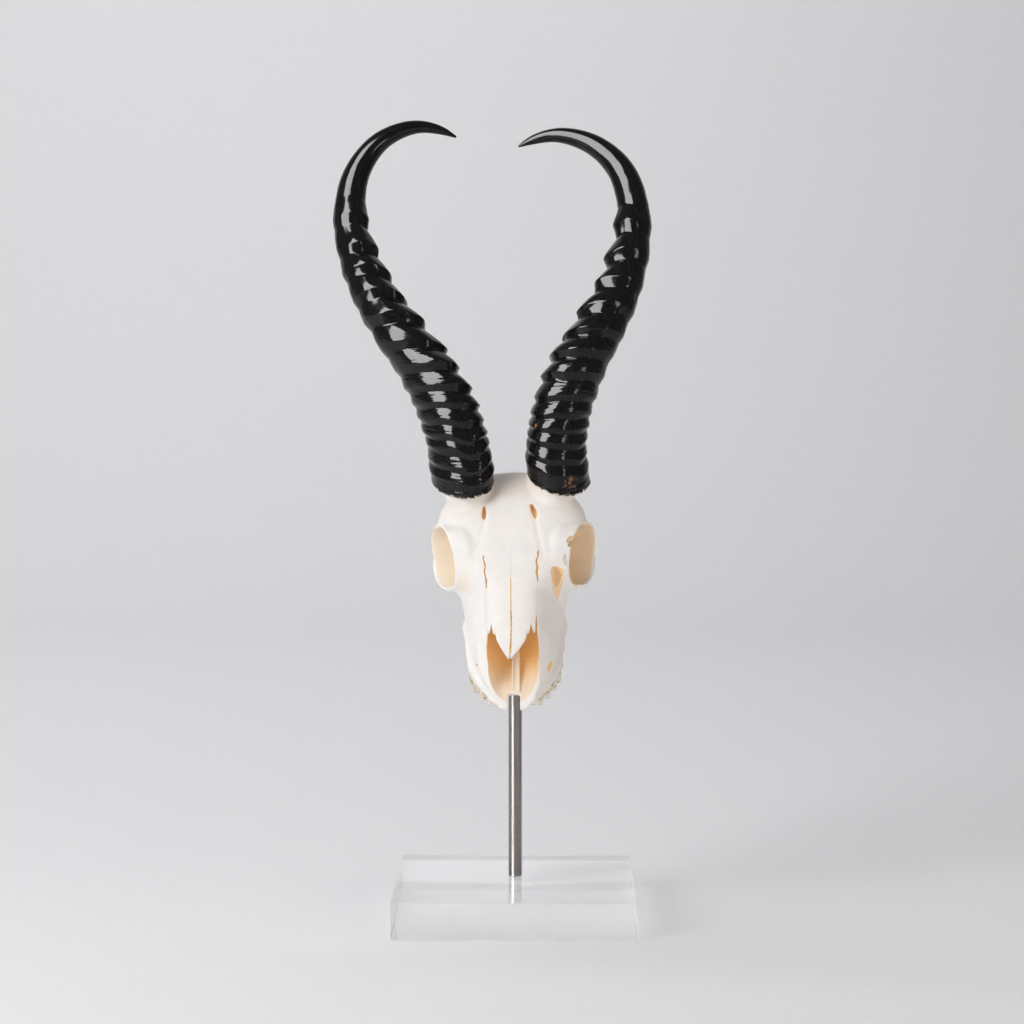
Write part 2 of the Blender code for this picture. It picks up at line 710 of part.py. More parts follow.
def pit_cutters(side):
    """Supraorbital and infraorbital foramen, and on the right an opening in front of the orbit."""
    made = []
    if side > 0:
        path = [(30.5, 106.5, 36), (31.5, 108.5, 41), (32, 110.5, 46), (32.5, 112.5, 51)]
        made.append(tube("preorbital_cutter", path, [(1.2, 1.5), (3.2, 3.6), (4.8, 5.0), (5.0, 4.0)]))
    return made + [
        tube(
            "supraorbital_cutter",
            [(side * 17.6, 138, 77.2), (side * 17.3, 144.5, 77), (side * 17, 151, 73)],
            [(0.9, 1.2), (1.7, 2.2), (1.4, 1.6)],
        ),
        tube(
            "infraorbital_cutter",
            [(side * 31, 66, 9), (side * 25, 73, 10.5), (side * 20, 80, 12)],
            [(1.5, 2.4), (1.5, 2.4), (1.2, 2)],
        ),
    ]


def nasal_rings(side, grow=0.0, clear=0.0):
    """Rings of one nasal bone from its tip back: an arched plate, from the midline outward."""
    rings = []
    across = 7
    for s, half in NASALS:
        bend = NASAL_BEND + NASAL_TIP_BEND * max(0.0, (72.0 - s) / 18.5) ** 2
        arch = 2 * float(hermite(NASAL_ARCH, s)[0, 0])
        half += grow
        inner = NASAL_SUTURE / 2 - grow
        half = max(half, inner + 0.8)
        top, under = [], []
        for k in range(across):
            x = inner + (half - inner) * k / (across - 1)
            h = dorsal(s) - x * x / arch + 0.4
            top.append((side * x - bend, s, h + grow + clear))
            under.append((side * x - bend, s, h - NASAL_THICK - grow))
        rings.append(top + under[::-1])
    rings[0] = [(x, s - grow, h) for x, s, h in rings[0]]
    rings[-1] = [(x, s + grow, h) for x, s, h in rings[-1]]
    return rings


def vomer_clay():
    """A trough that rises from the floor of the nasal cavity: two thin plates with bone between."""
    plates = []
    for x in VOMER_PLATES:
        outline = [(54.0, 1.0), (54.0, 3.6), (66.0, 6.2), (90.0, 11.5), (112.0, 18.0), (112.0, 1.0)]
        plate = prism("vomer_clay", outline, VOMER_THICK / 2)
        plate.data.transform(Matrix.Translation((x * MM, 0.0, 0.0)))
        plates.append(plate)
    trough = [(54.0, 1.0), (54.0, 2.8), (66.0, 5.2), (90.0, 10.2), (112.0, 16.4), (112.0, 1.0)]
    middle = prism("vomer_clay", trough, (VOMER_PLATES[1] - VOMER_PLATES[0]) / 2)
    middle.data.transform(Matrix.Translation((sum(VOMER_PLATES) / 2 * MM, 0.0, 0.0)))
    return plates + [middle]


def teeth_clay(side):
    """Six cheek teeth: each a ridged column whose outer cusps hang lowest."""
    made = []
    rng = np.random.default_rng(7 if side < 0 else 8)
    for index, (s, outer, tip, length) in enumerate(TEETH):
        lobes = 1 if index < 3 else 2
        for lobe in range(lobes):
            centre = s + (lobe - (lobes - 1) / 2) * length / lobes
            half = length / lobes / 2 + 0.5
            wear = float(rng.uniform(-0.7, 0.7))
            rings = []
            for h, shrink, lean in ((1.8, 0.74, 0.0), (-3.0, 1.0, 0.0), (tip + 3.0, 0.95, 0.0)):
                ring = []
                for k in range(8):
                    turn = 2 * math.pi * (k + 0.5) / 8
                    x = outer - TOOTH_WIDTH / 2 + TOOTH_WIDTH / 2 * shrink * math.cos(turn) + lean
                    ring.append((side * x, centre + half * shrink * math.sin(turn), h))
                rings.append(ring)
            crown = []
            for k in range(8):
                turn = 2 * math.pi * (k + 0.5) / 8
                x = outer - TOOTH_WIDTH / 2 + TOOTH_WIDTH / 2 * 0.86 * math.cos(turn)
                cusp = 1.5 * math.cos(turn) + 0.8 * math.cos(2 * turn)
                crown.append((side * x, centre + half * 0.55 * math.sin(turn), tip + 1.4 - cusp + wear))
            rings.append(crown)
            made.append(loft("tooth_clay", rings))
    return made


def seam_slab(name, to_front):
    """All the space on one side of the seam between face and cranium, less half the gap."""
    (s_top, h_top), (s_low, h_low) = SEAM_TOP, SEAM_LOW
    lean = (s_low - s_top) / (h_low - h_top)
    shift = GAP / 2 if to_front else -GAP / 2
    ends = [(s_top + lean * (h - h_top) + shift, h) for h in (-60.0, 140.0)]
    far = -60.0 if to_front else 330.0
    return prism(name, [ends[0], ends[1], (far, 140.0), (far, -60.0)], 90.0)


def skull_bones(bone):
    to_skull = skull_pose().inverted()
    skull = face_clay()
    clay = [frontal_clay(), braincase_clay()] + base_clay()
    for side in (-1, 1):
        clay += [alveolar_clay(side), rim_clay(side)]
    clay += [pedicle_clay(table, to_skull) for table in HORNS.values()]
    boolean(skull, clay, "UNION")
    remesh(skull, CLAY_VOXEL, 5)
    cutters = base_cutters()
    for side in (-1, 1):
        cutters += fossa_cutters(side) + pit_cutters(side)
    boolean(skull, cutters, "DIFFERENCE")
    boolean(skull, [arch_clay(-1), arch_clay(1)], "UNION")
    boolean(skull, [orbit_cutter(-1), orbit_cutter(1)], "DIFFERENCE")
    remesh(skull, BONE_VOXEL, 2)
    keep_largest(skull)

    cranium = skull.copy()
    cranium.data = skull.data.copy()
    bpy.context.scene.collection.objects.link(cranium)
    boolean(skull, [seam_slab("front_half", False)], "DIFFERENCE")
    boolean(cranium, [seam_slab("back_half", True)], "DIFFERENCE")
    decimate(skull, FACE_TRIANGLES)
    decimate(cranium, CRANIUM_TRIANGLES)
    boolean(skull, [nasal_cutter()] + front_cutters(), "DIFFERENCE")
    boolean(skull, teeth_clay(-1) + teeth_clay(1) + vomer_clay(), "UNION")
    boolean(cranium, [nasal_cutter()], "DIFFERENCE")

    for bones, to_front in ((skull, False), (cranium, True)):
        cutters = [seam_slab("seam", to_front), rod_solid("bore", ROD_RADIUS + GAP, -60.0, ROD_TOP + GAP)]
        cutters += [horn(name, GAP, 75.0) for name in HORNS]
        for cutter in cutters[1:]:
            cutter.data.transform(scaled(to_skull))
        for side in (-1, 1):
            cutters.append(loft("nasal_seat", nasal_rings(side, GAP, 3.0)))
        boolean(bones, cutters, "DIFFERENCE")
        keep_largest(bones)
        pose(bones)
    finish(skull, "maxillae", bone)
    finish(cranium, "cranium", bone)


def scaled(matrix):
    """A matrix in millimetres as one in metres."""
    made = matrix.copy()
    made.translation = matrix.translation * MM
    return made


def nasal_bones(bone):
    for side, name in ((-1, "nasal_left"), (1, "nasal_right")):
        nasal = loft(name, nasal_rings(side))
        finish(nasal, name, bone)
        pose(nasal)


def horns():
    keratin = material("black_horn", (0.012, 0.011, 0.01), 0.16)
    for name in HORNS:
        finish(horn(name), name, keratin)


def clear_scene():
    for thing in list(bpy.data.objects):
        bpy.data.objects.remove(thing)


def main():
    clear_scene()
    skull_seat()
    bone = material("white_bone", (0.88, 0.86, 0.82), 0.55)
    stand_base()
    stand_rod()
    skull_bones(bone)
    nasal_bones(bone)
    horns()


main()
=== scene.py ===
"""Looks of a springbok ram skull on a steel rod and a clear block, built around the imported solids.

Sizes are in millimetres until a mesh is made. The skull is shaped in its own frame: x to the side,
s back along the palate from the tip of the missing premaxillae, h up from the palate. It is then
pitched nose-down on the rod, in the model's frame: +Z up, X to the viewer's right, Y away.
"""

import math
from contextlib import contextmanager

import bmesh
import bpy
import numpy as np
from mathutils import Euler, Matrix, Vector, noise
from mathutils.bvhtree import BVHTree
from mathutils.kdtree import KDTree


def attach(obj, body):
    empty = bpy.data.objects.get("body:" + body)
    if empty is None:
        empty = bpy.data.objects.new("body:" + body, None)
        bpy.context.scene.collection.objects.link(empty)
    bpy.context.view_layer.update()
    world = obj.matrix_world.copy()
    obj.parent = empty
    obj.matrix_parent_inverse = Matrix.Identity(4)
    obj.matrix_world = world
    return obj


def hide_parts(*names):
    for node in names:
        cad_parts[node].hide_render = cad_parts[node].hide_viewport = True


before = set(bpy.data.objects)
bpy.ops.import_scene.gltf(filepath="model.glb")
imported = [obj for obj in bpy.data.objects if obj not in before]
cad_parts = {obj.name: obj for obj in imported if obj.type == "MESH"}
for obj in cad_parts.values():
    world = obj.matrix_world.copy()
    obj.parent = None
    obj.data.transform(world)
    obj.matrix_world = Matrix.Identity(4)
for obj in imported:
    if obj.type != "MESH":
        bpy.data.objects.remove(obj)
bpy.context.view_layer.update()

MM = 0.001

# Camera
CAMERA_PLACE = (0.0209, -1.9969, 0.4352)
CAMERA_TURN = (math.pi / 2 - 0.0812, 0.0, 0.0115)
CAMERA_LENS = 105.4

# Stand
BLOCK_SIDE = 160.0
BLOCK_THICK = 24.5
BLOCK_BEVEL = 0.5
ROD_RADIUS = 4.5
ROD_Y = 10.0
ROD_TOP = 246.0
ROD_FOOT = 24.55
ROD_CHAMFER = 0.5
FLOOR_GAP = 0.0002

# Pose of the skull: the rod crosses its palate at ROD_STATION
ROD_STATION = 130.2
SEAT = Vector((0.0, ROD_Y, 201.2))
PITCH = math.radians(35.5)
ROLL = math.radians(1.4)
YAW = math.radians(1.0)

# Horns, in the model's frame: x, y, z and half-width at stations from the rim to the tip
HORN_LEFT = (
    (-35, -2, 294.3, 21.3), (-37.7, -3.9, 316.2, 20.7), (-45.4, -3.7, 341.6, 19.8),
    (-59.3, 0.4, 366.9, 18.4), (-78.1, 9.9, 392.6, 16.7), (-94.8, 22.7, 417.3, 15.1),
    (-107.2, 37.2, 443.6, 13.3), (-113.1, 51.9, 472.3, 11.4), (-107.9, 64.9, 502, 9.2),
    (-90.1, 73.7, 523.9, 6.9), (-66, 78.2, 531.9, 4.8), (-50.3, 79.4, 529, 3.2), (-41.4, 79.7, 525, 1.2),
)
HORN_RIGHT = (
    (28.6, -2, 296.5, 20.6), (27.7, -3.8, 316.7, 19.8), (31.5, -3.8, 342, 19.3),
    (41.6, -0.2, 368.2, 18.5), (56.8, 8.7, 395.4, 16.8), (70, 21, 421.3, 14.9),
    (78.3, 35.2, 448.7, 13.1), (79.5, 49.6, 477, 11.4), (70.2, 62.3, 503.6, 9.5),
    (49.7, 71.6, 520.8, 7.4), (25.6, 76.9, 526, 5.2), (10.2, 78.8, 522.5, 3.4), (1.4, 79.5, 518.5, 1.2),
)
HORNS = {"horn_left": HORN_LEFT, "horn_right": HORN_RIGHT}
HORN_SIDES = 96
HORN_DEPTH_RATIO = 1.12
RING_FACING = math.radians(20)
RIM_LEAN = 0.5
RIM_TILT = {"horn_left": 0.12, "horn_right": 0.22}
RIM_LEAN_LENGTH = 48.0
RIM_CORNER = {"horn_left": 0, "horn_right": 1.6}
RING_CRESTS = {
    "horn_left": (8.4, 16.3, 25.8, 32.6, 41.5, 51.8, 64, 78.8, 95.5, 118, 138.2, 158.8, 178.8, 203),
    "horn_right": (11, 19.5, 28, 35.5, 43.2, 54, 69, 83.2, 99, 118.8, 140, 160.5, 185),
}
RING_LAST = 206.0
RING_FADE = 21.0
SECTION_SHEAR = {"horn_left": 0.27, "horn_right": 0.09}
SECTION_SHEAR_ENDS = (76, 100)
RING_HEIGHT = (1.6, 4)
RING_HEIGHT_GROWS = (25, 85)

# Skull outline: height of the dorsal midline over the palate at stations back from the nose
DORSAL_LINE = (
    (40, 31), (53.5, 34.7), (76, 43.6), (91.5, 49.8), (105, 57), (120, 66),
    (135, 73.6), (148, 78.8), (160, 81.6), (170, 82.6), (178, 82.3), (184, 80.6),
    (190, 76.6), (200, 66), (210, 54), (216, 44),
)
# Face: station, half-width low, half-width high
FACE = (
    (40, 10.5, 12), (46, 13.5, 14.5), (54, 17.5, 17.5), (64, 24, 19),
    (76, 29.5, 20), (90, 33.2, 21.5), (105, 35.8, 23), (120, 37.5, 27),
    (134, 36.5, 28), (139, 30, 22),
)
FACE_LOW = -3.5
# Frontals and orbits: station, half-width, height where the side is widest
FRONTAL = (
    (104, 22, 40), (110, 29, 42), (117, 36, 45), (124, 40, 48),
    (132, 43, 51), (140, 46, 54), (148, 49, 56), (156, 49.5, 57),
    (162, 48.5, 58), (168, 44, 60), (176, 36, 60),
)
JUGAL_LOW = 20.0
# Braincase: station, half-width, lowest height
BRAINCASE = (
    (140, 14, 24), (150, 24, 20), (160, 31, 17), (170, 33.5, 15),
    (182, 34.5, 13), (194, 34.5, 12), (204, 32, 12), (211, 26, 15),
    (214, 18, 19),
)
ORBIT_CENTRE = (138, 47.6)
ORBIT_RADIUS = 21.0
ORBIT_SIDE = 47.2
ORBIT_FLARE_BACK = 8.4
ORBIT_FLARE_UP = -2.3
ORBIT_SQUARE = 2.7

# Openings
NASAL_CAVITY = (
    (34, 7, 1.6), (41, 9.2, 1.8), (46, 11.9, 2), (52, 14.4, 2.4), (58, 16, 2.8),
    (66, 17, 3), (78, 17.5, 3), (92, 17.3, 3), (106, 15.8, 4),
    (116, 12, 8), (121, 7, 14),
)
APERTURE_EDGE = ((41, -7), (41.5, 0), (48, 3.5), (56, 11), (66, 24), (77.5, 40.5))
APERTURE_SIDE = 16.8
APERTURE_SWEEP = 1.3
PRONG_NOTCH_HALF = 3.9
PRONG_NOTCH_END = 53.4
PALATE_VAULT = (
    (36, 3), (50, 6.5), (60, 11.5), (80, 16.5), (100, 19.5), (118, 20), (142, 19),
)


def slit(path, widths):
    """The outline of a narrow wavering gap through places of the front view."""
    left = [(x - w / 2, q) for (x, q), w in zip(path, widths)]
    right = [(x + w / 2, q) for (x, q), w in zip(path, widths)]
    return left + right[::-1]


# Front view, along the camera's sight: the skull's frame turned by VIEW_TILT about VIEW_START.
# Openings there: outline as (across, up), depth, share of its width at the bottom, and how warm inside: a
# tint partly the bone's own colour and partly painted light, which also sets their painted glow.
VIEW_START = (41.7, -2)
VIEW_TILT = math.radians(41.84)
PREORBITAL_RIGHT = [(25.2, 90.6), (26.6, 93.2), (30, 93.4), (34.6, 90.2), (32.8, 82), (29.4, 71), (27, 76)]
PREORBITAL_LEFT = [(-37, 79.4), (-35.6, 86.6), (-31.9, 92), (-28.6, 90.6), (-28.4, 80.6), (-32, 77.8)]
SUPRAORBITAL_LEFT = [
    (-19.4, 126.4), (-19.6, 129.4), (-18.8, 133.8), (-17.2, 134), (-16.4, 130), (-16.8, 126), (-18, 124.6),
]
SUPRAORBITAL_RIGHT = [
    (12.2, 134.8), (14.4, 134.6), (17, 130.4), (17.3, 126.4), (15.9, 124.8), (14.3, 126.6), (12.8, 130.6),
]
INFRAORBITAL_RIGHT = [(24.4, 31.6), (25.4, 29.4), (24.4, 26.4), (22.6, 23.8), (22, 26.4), (23.2, 30)]
INFRAORBITAL_LEFT = [(-24.5, 30.4), (-23.6, 30.2), (-23.3, 29), (-24.2, 28.4), (-24.8, 29.2)]
# A small hole whose inside is painted near white (warmth 0.06 below): painted light, as if light came through
# it.
ORBIT_HOLE = [(33.4, 98), (34, 100.4), (35.6, 101), (36.8, 99.2), (37, 96), (36.2, 93.6), (34.8, 94.2)]
ORBIT_NOTCH = [
    (45, 115.6), (42.2, 115.2), (40.2, 113), (38.6, 113.2), (36.3, 111.2), (36, 109), (37.2, 107.8),
    (36.6, 106.4), (39.4, 105.2), (38.4, 103.6), (39, 102), (44, 101),
]
SLIT_LEFT = (
    [(-18.6, 101.2), (-18.5, 98.2), (-17.6, 95.9), (-17.4, 93.4), (-18.1, 91.2), (-17.2, 87), (-16.7, 84.8),
     (-17, 82.4), (-16.6, 79.8)],
    (0.9, 0.7, 1.1, 0.6, 1, 0.7, 1.2, 0.8, 0.4),
)
SLIT_RIGHT = (
    [(17.7, 104.4), (17.3, 102.4), (17.5, 100.6), (16.2, 97.6), (16.3, 95), (17, 92.8), (16.2, 89.6),
     (16.7, 86.6), (17.2, 83.4)],
    (0.4, 1.3, 0.8, 1.2, 0.9, 1.6, 1.3, 0.9, 0.4),
)
NASAL_NOTCH_RIGHT = [(10.9, 49.6), (13.7, 49.6), (12.1, 56.4)]
NASAL_NOTCH_LEFT = [(-12.5, 49.6), (-15.2, 49.6), (-13.6, 56.4)]
NASAL_SLIT = [(14.9, 49), (16.4, 49), (16.1, 58), (15.6, 62.6), (15.2, 58)]
OPENINGS = (
    (PREORBITAL_RIGHT, 7.5, 0.55, 0.56), (PREORBITAL_LEFT, 1, 0.3, 0.16),
    (SUPRAORBITAL_LEFT, 4.5, 0.6, 0.62), (SUPRAORBITAL_RIGHT, 4.5, 0.6, 0.60),
    (INFRAORBITAL_RIGHT, 4.5, 0.7, 0.72), (INFRAORBITAL_LEFT, 2.5, 0.7, 0.5), (ORBIT_HOLE, 1.4, 0.9, 0.06),
    (ORBIT_NOTCH, 4, 1, 0.4), (slit(*SLIT_LEFT), 1.3, 0.95, 0.8), (slit(*SLIT_RIGHT), 1.3, 0.95, 0.8),
    (NASAL_NOTCH_RIGHT, 5, 1, 0.1), (NASAL_NOTCH_LEFT, 5, 1, 0.1), (NASAL_SLIT, 5, 1, 0.7),
)
# Grooves there: across, up, half-width and depth along each
GROOVES = (
    ((13.2, 137, 4, 0.2), (15.8, 128, 4, 0.6), (17.4, 118, 4, 0.4), (19.6, 108, 4, 0.4), (21.6, 98, 4, 0.1)),
    ((-18, 132, 4, 0.3), (-18.2, 124, 4, 0.4), (-20.4, 116, 4, 0.25), (-22, 108, 4, 0.1)),
)

# Nasal bones: station and half-width of the pair
NASALS = (
    (53.5, 0.8), (56.3, 3.2), (60.7, 6), (67.2, 9.5), (72.8, 12.6), (73.6, 14.7), (75.5, 15.4),
    (80.5, 15.9), (90, 16.7), (100, 17.1), (108, 16.8), (114, 14.6), (119, 10),
    (122.5, 4.5), (124, 2),
)
NASAL_BEND = 0.7
NASAL_TIP_BEND = 1.1
NASAL_THICK = 1.9
NASAL_ARCH = ((53.5, 30), (98, 36), (104, 48), (110, 80), (124, 110))
NASAL_SUTURE = ((53.5, 0.9), (70, 0.75), (86, 0.55), (98, 0.35), (109, 0.16), (112, 0.02), (124, 0.02))
NASAL_FIT = 0.06

# Vomer: two plates beside the midline
VOMER_PLATES = (-0.9, 3.1)
VOMER_THICK = 1.0

# Cheek teeth: station of the crown, outer half-width, crown tip height, length along the row
TEETH = (
    (56.5, 18, -10.4, 6.6), (64.2, 23, -12, 7.6), (72.6, 27.4, -13, 8.2),
    (82.6, 30.8, -13.6, 11), (95.4, 32.2, -13, 13.6), (110.4, 33.4, -11.4, 15.2),
)
TOOTH_WIDTH = 9.0

SEAM_TOP = (124, 66)
SEAM_LOW = (137, -16)
CLAY_VOXEL = 1.1
BONE_VOXEL = 0.75


def hermite(table, x):
    """Smooth values of a table at x, its first column being the place along it."""
    rows = np.array(table, float)
    at, values = rows[:, 0], rows[:, 1:]
    slopes = np.gradient(values, at, axis=0)
    x = np.clip(np.atleast_1d(np.asarray(x, float)), at[0], at[-1])
    i = np.clip(np.searchsorted(at, x) - 1, 0, len(at) - 2)
    width = (at[i + 1] - at[i])[:, None]
    t = ((x - at[i]) / (at[i + 1] - at[i]))[:, None]
    start, end = values[i], values[i + 1]
    tangent_in, tangent_out = slopes[i] * width, slopes[i + 1] * width
    return (
        start * (2 * t**3 - 3 * t**2 + 1)
        + tangent_in * (t**3 - 2 * t**2 + t)
        + end * (3 * t**2 - 2 * t**3)
        + tangent_out * (t**3 - t**2)
    )


def smoothstep(low, high, x):
    t = np.clip((np.asarray(x, float) - low) / (high - low), 0.0, 1.0)
    return t * t * (3.0 - 2.0 * t)


def dorsal(s):
    return float(hermite(DORSAL_LINE, s)[0, 0])


def skull_pose():
    """From the skull's frame to the model's, in millimetres."""
    turn = Euler((PITCH, -ROLL, -YAW), "XYZ").to_matrix().to_4x4()
    return Matrix.Translation(SEAT) @ turn @ Matrix.Translation((0.0, -ROD_STATION, 0.0))


def scaled(matrix):
    """A matrix in millimetres as one in metres."""
    made = matrix.copy()
    made.translation = matrix.translation * MM
    return made


def add_object(name, data):
    made = bpy.data.objects.new(name, data)
    bpy.context.scene.collection.objects.link(made)
    return made


@contextmanager
def editing(mesh):
    """The mesh opened for edits, which are written back at the end."""
    shell = bmesh.new()
    shell.from_mesh(mesh)
    yield shell
    shell.to_mesh(mesh)
    shell.free()


def read_array(items, name, width, kind=np.float32):
    """A property of a mesh's elements, a row for each."""
    values = np.empty(len(items) * width, kind)
    items.foreach_get(name, values)
    return values.reshape(-1, width)


def write_attribute(mesh, name, values, domain="POINT"):
    attribute = mesh.attributes.new(name, "FLOAT", domain)
    attribute.data.foreach_set("value", np.asarray(values, np.float32))


def mesh_object(name, points, faces):
    mesh = bpy.data.meshes.new(name)
    mesh.from_pydata([[c * MM for c in p] for p in points], [], faces)
    with editing(mesh) as shell:
        bmesh.ops.recalc_face_normals(shell, faces=shell.faces)
    return add_object(name, mesh)


def circle(count):
    """Even angles, once round."""
    return [2 * math.pi * k / count for k in range(count)]


def walls(rings):
    """The points of rings and the faces between neighbouring rings."""
    count = len(rings[0])
    points = [tuple(p) for ring in rings for p in ring]
    faces = []
    for r in range(len(rings) - 1):
        for k in range(count):
            a, b = r * count + k, r * count + (k + 1) % count
            faces.append((a, b, b + count, a + count))
    return points, faces, count


def loft(name, rings):
    """A closed skin through rings of equally many points, with a fan at each end."""
    points, faces, count = walls(rings)
    for ring, step in ((rings[0], 0), (rings[-1], (len(rings) - 1) * count)):
        points.append(tuple(np.mean(np.array(ring, float), axis=0)))
        hub = len(points) - 1
        faces += [(step + k, step + (k + 1) % count, hub) for k in range(count)]
    return mesh_object(name, points, faces)


def oval(s, low_half, high_half, low, high, square=2.6, count=56, x=0.0):
    """A ring across the skull at station s: a superellipse that may be wider low than high."""
    ring = []
    for angle in circle(count):
        parts = (math.cos(angle), math.sin(angle))
        across, up = (math.copysign(abs(part) ** (2 / square), part) for part in parts)
        half = low_half + (high_half - low_half) * (up + 1) / 2
        ring.append((x + half * across, s, (low + high) / 2 + (high - low) / 2 * up))
    return ring


def stations(table, step):
    return np.arange(table[0][0], table[-1][0] + step / 2, step)


def tube(name, path, radii, count=24):
    """A tapered round tube through points, whose radii are (side, up) pairs."""
    steps = np.arange(len(path), dtype=float)
    fine = np.linspace(0.0, len(path) - 1.0, 4 * (len(path) - 1) + 1)
    rows = hermite(np.column_stack([steps, np.array(path, float), np.array(radii, float)]), fine)
    centres = [Vector(row[:3]) for row in rows]
    rings = []
    for i, point in enumerate(centres):
        along = (centres[min(i + 1, len(centres) - 1)] - centres[max(i - 1, 0)]).normalized()
        side = along.cross(Vector((0.0, 0.0, 1.0)))
        side = side.normalized() if side.length > 0.2 else Vector((1.0, 0.0, 0.0))
        up = side.cross(along).normalized()
        reach, rise = rows[i][3:]
        rings.append([point + side * reach * math.cos(a) + up * rise * math.sin(a) for a in circle(count)])
    return loft(name, rings)


def ball(name, centre, radii):
    shell = bmesh.new()
    bmesh.ops.create_icosphere(shell, subdivisions=4, radius=1.0)
    points = [[c + r * v for c, r, v in zip(centre, radii, vertex.co)] for vertex in shell.verts]
    faces = [[vertex.index for vertex in face.verts] for face in shell.faces]
    shell.free()
    return mesh_object(name, points, faces)


def skin(name, rings):
    """A closed solid through rings of equally many points, with a flat face at each end."""
    points, faces, count = walls(rings)
    ends = [tuple(range(count)), tuple(range(len(points) - count, len(points)))]
    return mesh_object(name, points, ends + faces)


def prism(name, outline, half_width):
    """An outline in the (s, h) plane drawn out to both sides."""
    return skin(name, [[(x, s, h) for s, h in outline] for x in (-half_width, half_width)])


def apply_modifiers(thing):
    bpy.context.view_layer.update()
    graph = bpy.context.evaluated_depsgraph_get()
    mesh = bpy.data.meshes.new_from_object(thing.evaluated_get(graph))
    thing.modifiers.clear()
    thing.data = mesh


def triangulate(thing):
    with editing(thing.data) as shell:
        bmesh.ops.triangulate(shell, faces=shell.faces)


def boolean(thing, others, operation):
    """One Boolean with all the other objects, which are then removed."""
    group = bpy.data.collections.new(thing.name + "_" + operation.lower())
    bpy.context.scene.collection.children.link(group)
    for other in others:
        triangulate(other)
        bpy.context.scene.collection.objects.unlink(other)
        group.objects.link(other)
    modifier = thing.modifiers.new(operation.title(), "BOOLEAN")
    modifier.operation = operation
    modifier.operand_type = "COLLECTION"
    modifier.collection = group
    modifier.solver = "MANIFOLD"
    apply_modifiers(thing)
    for other in others:
        bpy.data.objects.remove(other)
    bpy.data.collections.remove(group)


def remesh(thing, voxel, rounds):
    modifier = thing.modifiers.new("Remesh", "REMESH")
    modifier.mode = "VOXEL"
    modifier.voxel_size = voxel * MM
    smooth = thing.modifiers.new("Smooth", "SMOOTH")
    smooth.factor = 0.5
    smooth.iterations = rounds
    apply_modifiers(thing)


def duplicate(thing, name):
    return add_object(name, thing.data.copy())


def keep_largest(thing):
    """Keeps only the largest closed surface."""
    mesh = thing.data
    ends = read_array(mesh.edges, "vertices", 2, np.int32)
    label = np.arange(len(mesh.vertices))
    while True:
        low = np.minimum(label[ends[:, 0]], label[ends[:, 1]])
        spread = label.copy()
        np.minimum.at(spread, ends[:, 0], low)
        np.minimum.at(spread, ends[:, 1], low)
        spread = spread[spread]
        if (spread == label).all():
            break
        label = spread
    names, sizes = np.unique(label, return_counts=True)
    if len(names) == 1:
        return
    kept = names[sizes.argmax()]
    with editing(mesh) as shell:
        shell.verts.ensure_lookup_table()
        loose = [shell.verts[i] for i in np.flatnonzero(label != kept)]
        bmesh.ops.delete(shell, geom=loose, context="VERTS")


def face_clay():
    rings = []
    for s in stations(FACE, 2.0):
        low_half, high_half = hermite(FACE, s)[0]
        rings.append(oval(s, low_half, high_half, FACE_LOW, dorsal(s) - 0.5, square=3.2))
    return loft("face_clay", rings)


def alveolar_clay(side):
    """The swollen bone along the roots of the cheek teeth."""
    path, radii = [(side * 10.5, 47.0, 0.5)], [(4.0, 3.0)]
    for s, outer, _tip, _length in TEETH:
        path.append((side * (outer - TOOTH_WIDTH / 2 - 0.3), s, -0.5))
        radii.append((TOOTH_WIDTH / 2 + 0.9, 4.5))
    path.append((side * 30.5, 121.0, 0.0))
    radii.append((5.0, 5.0))
    path.append((side * 29.0, 129.0, 3.0))
    radii.append((3.5, 4.0))
    return tube("alveolar_clay", path, radii)


def frontal_clay():
    rings = []
    for s in stations(FRONTAL, 2.0):
        half, widest = hermite(FRONTAL, s)[0]
        above = oval(s, half, half, 2 * widest - dorsal(s), dorsal(s), square=2.9, count=80)
        below = oval(s, half, half, JUGAL_LOW, 2 * widest - JUGAL_LOW, square=4.5, count=80)
        rings.append(above[:40] + below[40:])
    return loft("frontal_clay", rings)


def braincase_clay():
    rings = []
    for s in stations(BRAINCASE, 2.0):
        half, low = hermite(BRAINCASE, s)[0]
        rings.append(oval(s, half * 0.92, half * 0.86, low, dorsal(s) - 0.5, square=2.8))
    return loft("braincase_clay", rings)


def orbit_share(angle):
    """The squared outline of an orbit: its share of the radius, 1 at its level top and bottom."""
    turned = angle - math.pi / 4
    total = np.abs(np.cos(turned)) ** ORBIT_SQUARE + np.abs(np.sin(turned)) ** ORBIT_SQUARE
    return total ** (-1 / ORBIT_SQUARE)


def orbit_rim(angle, radius=ORBIT_RADIUS, lift=0.0):
    """A point of the orbit's rim on the +x side: angle 0 backward, 90 degrees up."""
    s, h = ORBIT_CENTRE
    radius *= float(orbit_share(angle))
    out = ORBIT_SIDE + ORBIT_FLARE_BACK * math.cos(angle) + ORBIT_FLARE_UP * math.sin(angle)
    return (out + lift, s + radius * math.cos(angle), h + radius * math.sin(angle))


def rim_clay(side):
    """The flare of bone around an orbit, thin at its edge and blending into brow and cheek."""
    count = 72
    section = ((1.1, -0.4), (2.4, -3.0), (4.4, -7.0), (6.6, -12.0), (3.0, -17.0), (-2.5, -12.0),
               (-2.5, -3.0), (-0.9, -0.4))
    around = len(section)
    points, faces = [], []
    for i in range(count):
        angle = 2 * math.pi * i / count
        swell = 0.18 + 0.5 * (0.5 - 0.5 * math.cos(angle)) ** 2
        for k, (outward, lift) in enumerate(section):
            reach = outward * swell if outward > 1.5 else outward
            x, s, h = orbit_rim(angle, ORBIT_RADIUS + reach, lift)
            points.append((side * x, s, h))
            a, b = i * around + k, i * around + (k + 1) % around
            c = ((i + 1) % count) * around
            faces.append((a, b, c + (k + 1) % around, c + k))
    return mesh_object("rim_clay", points, faces)


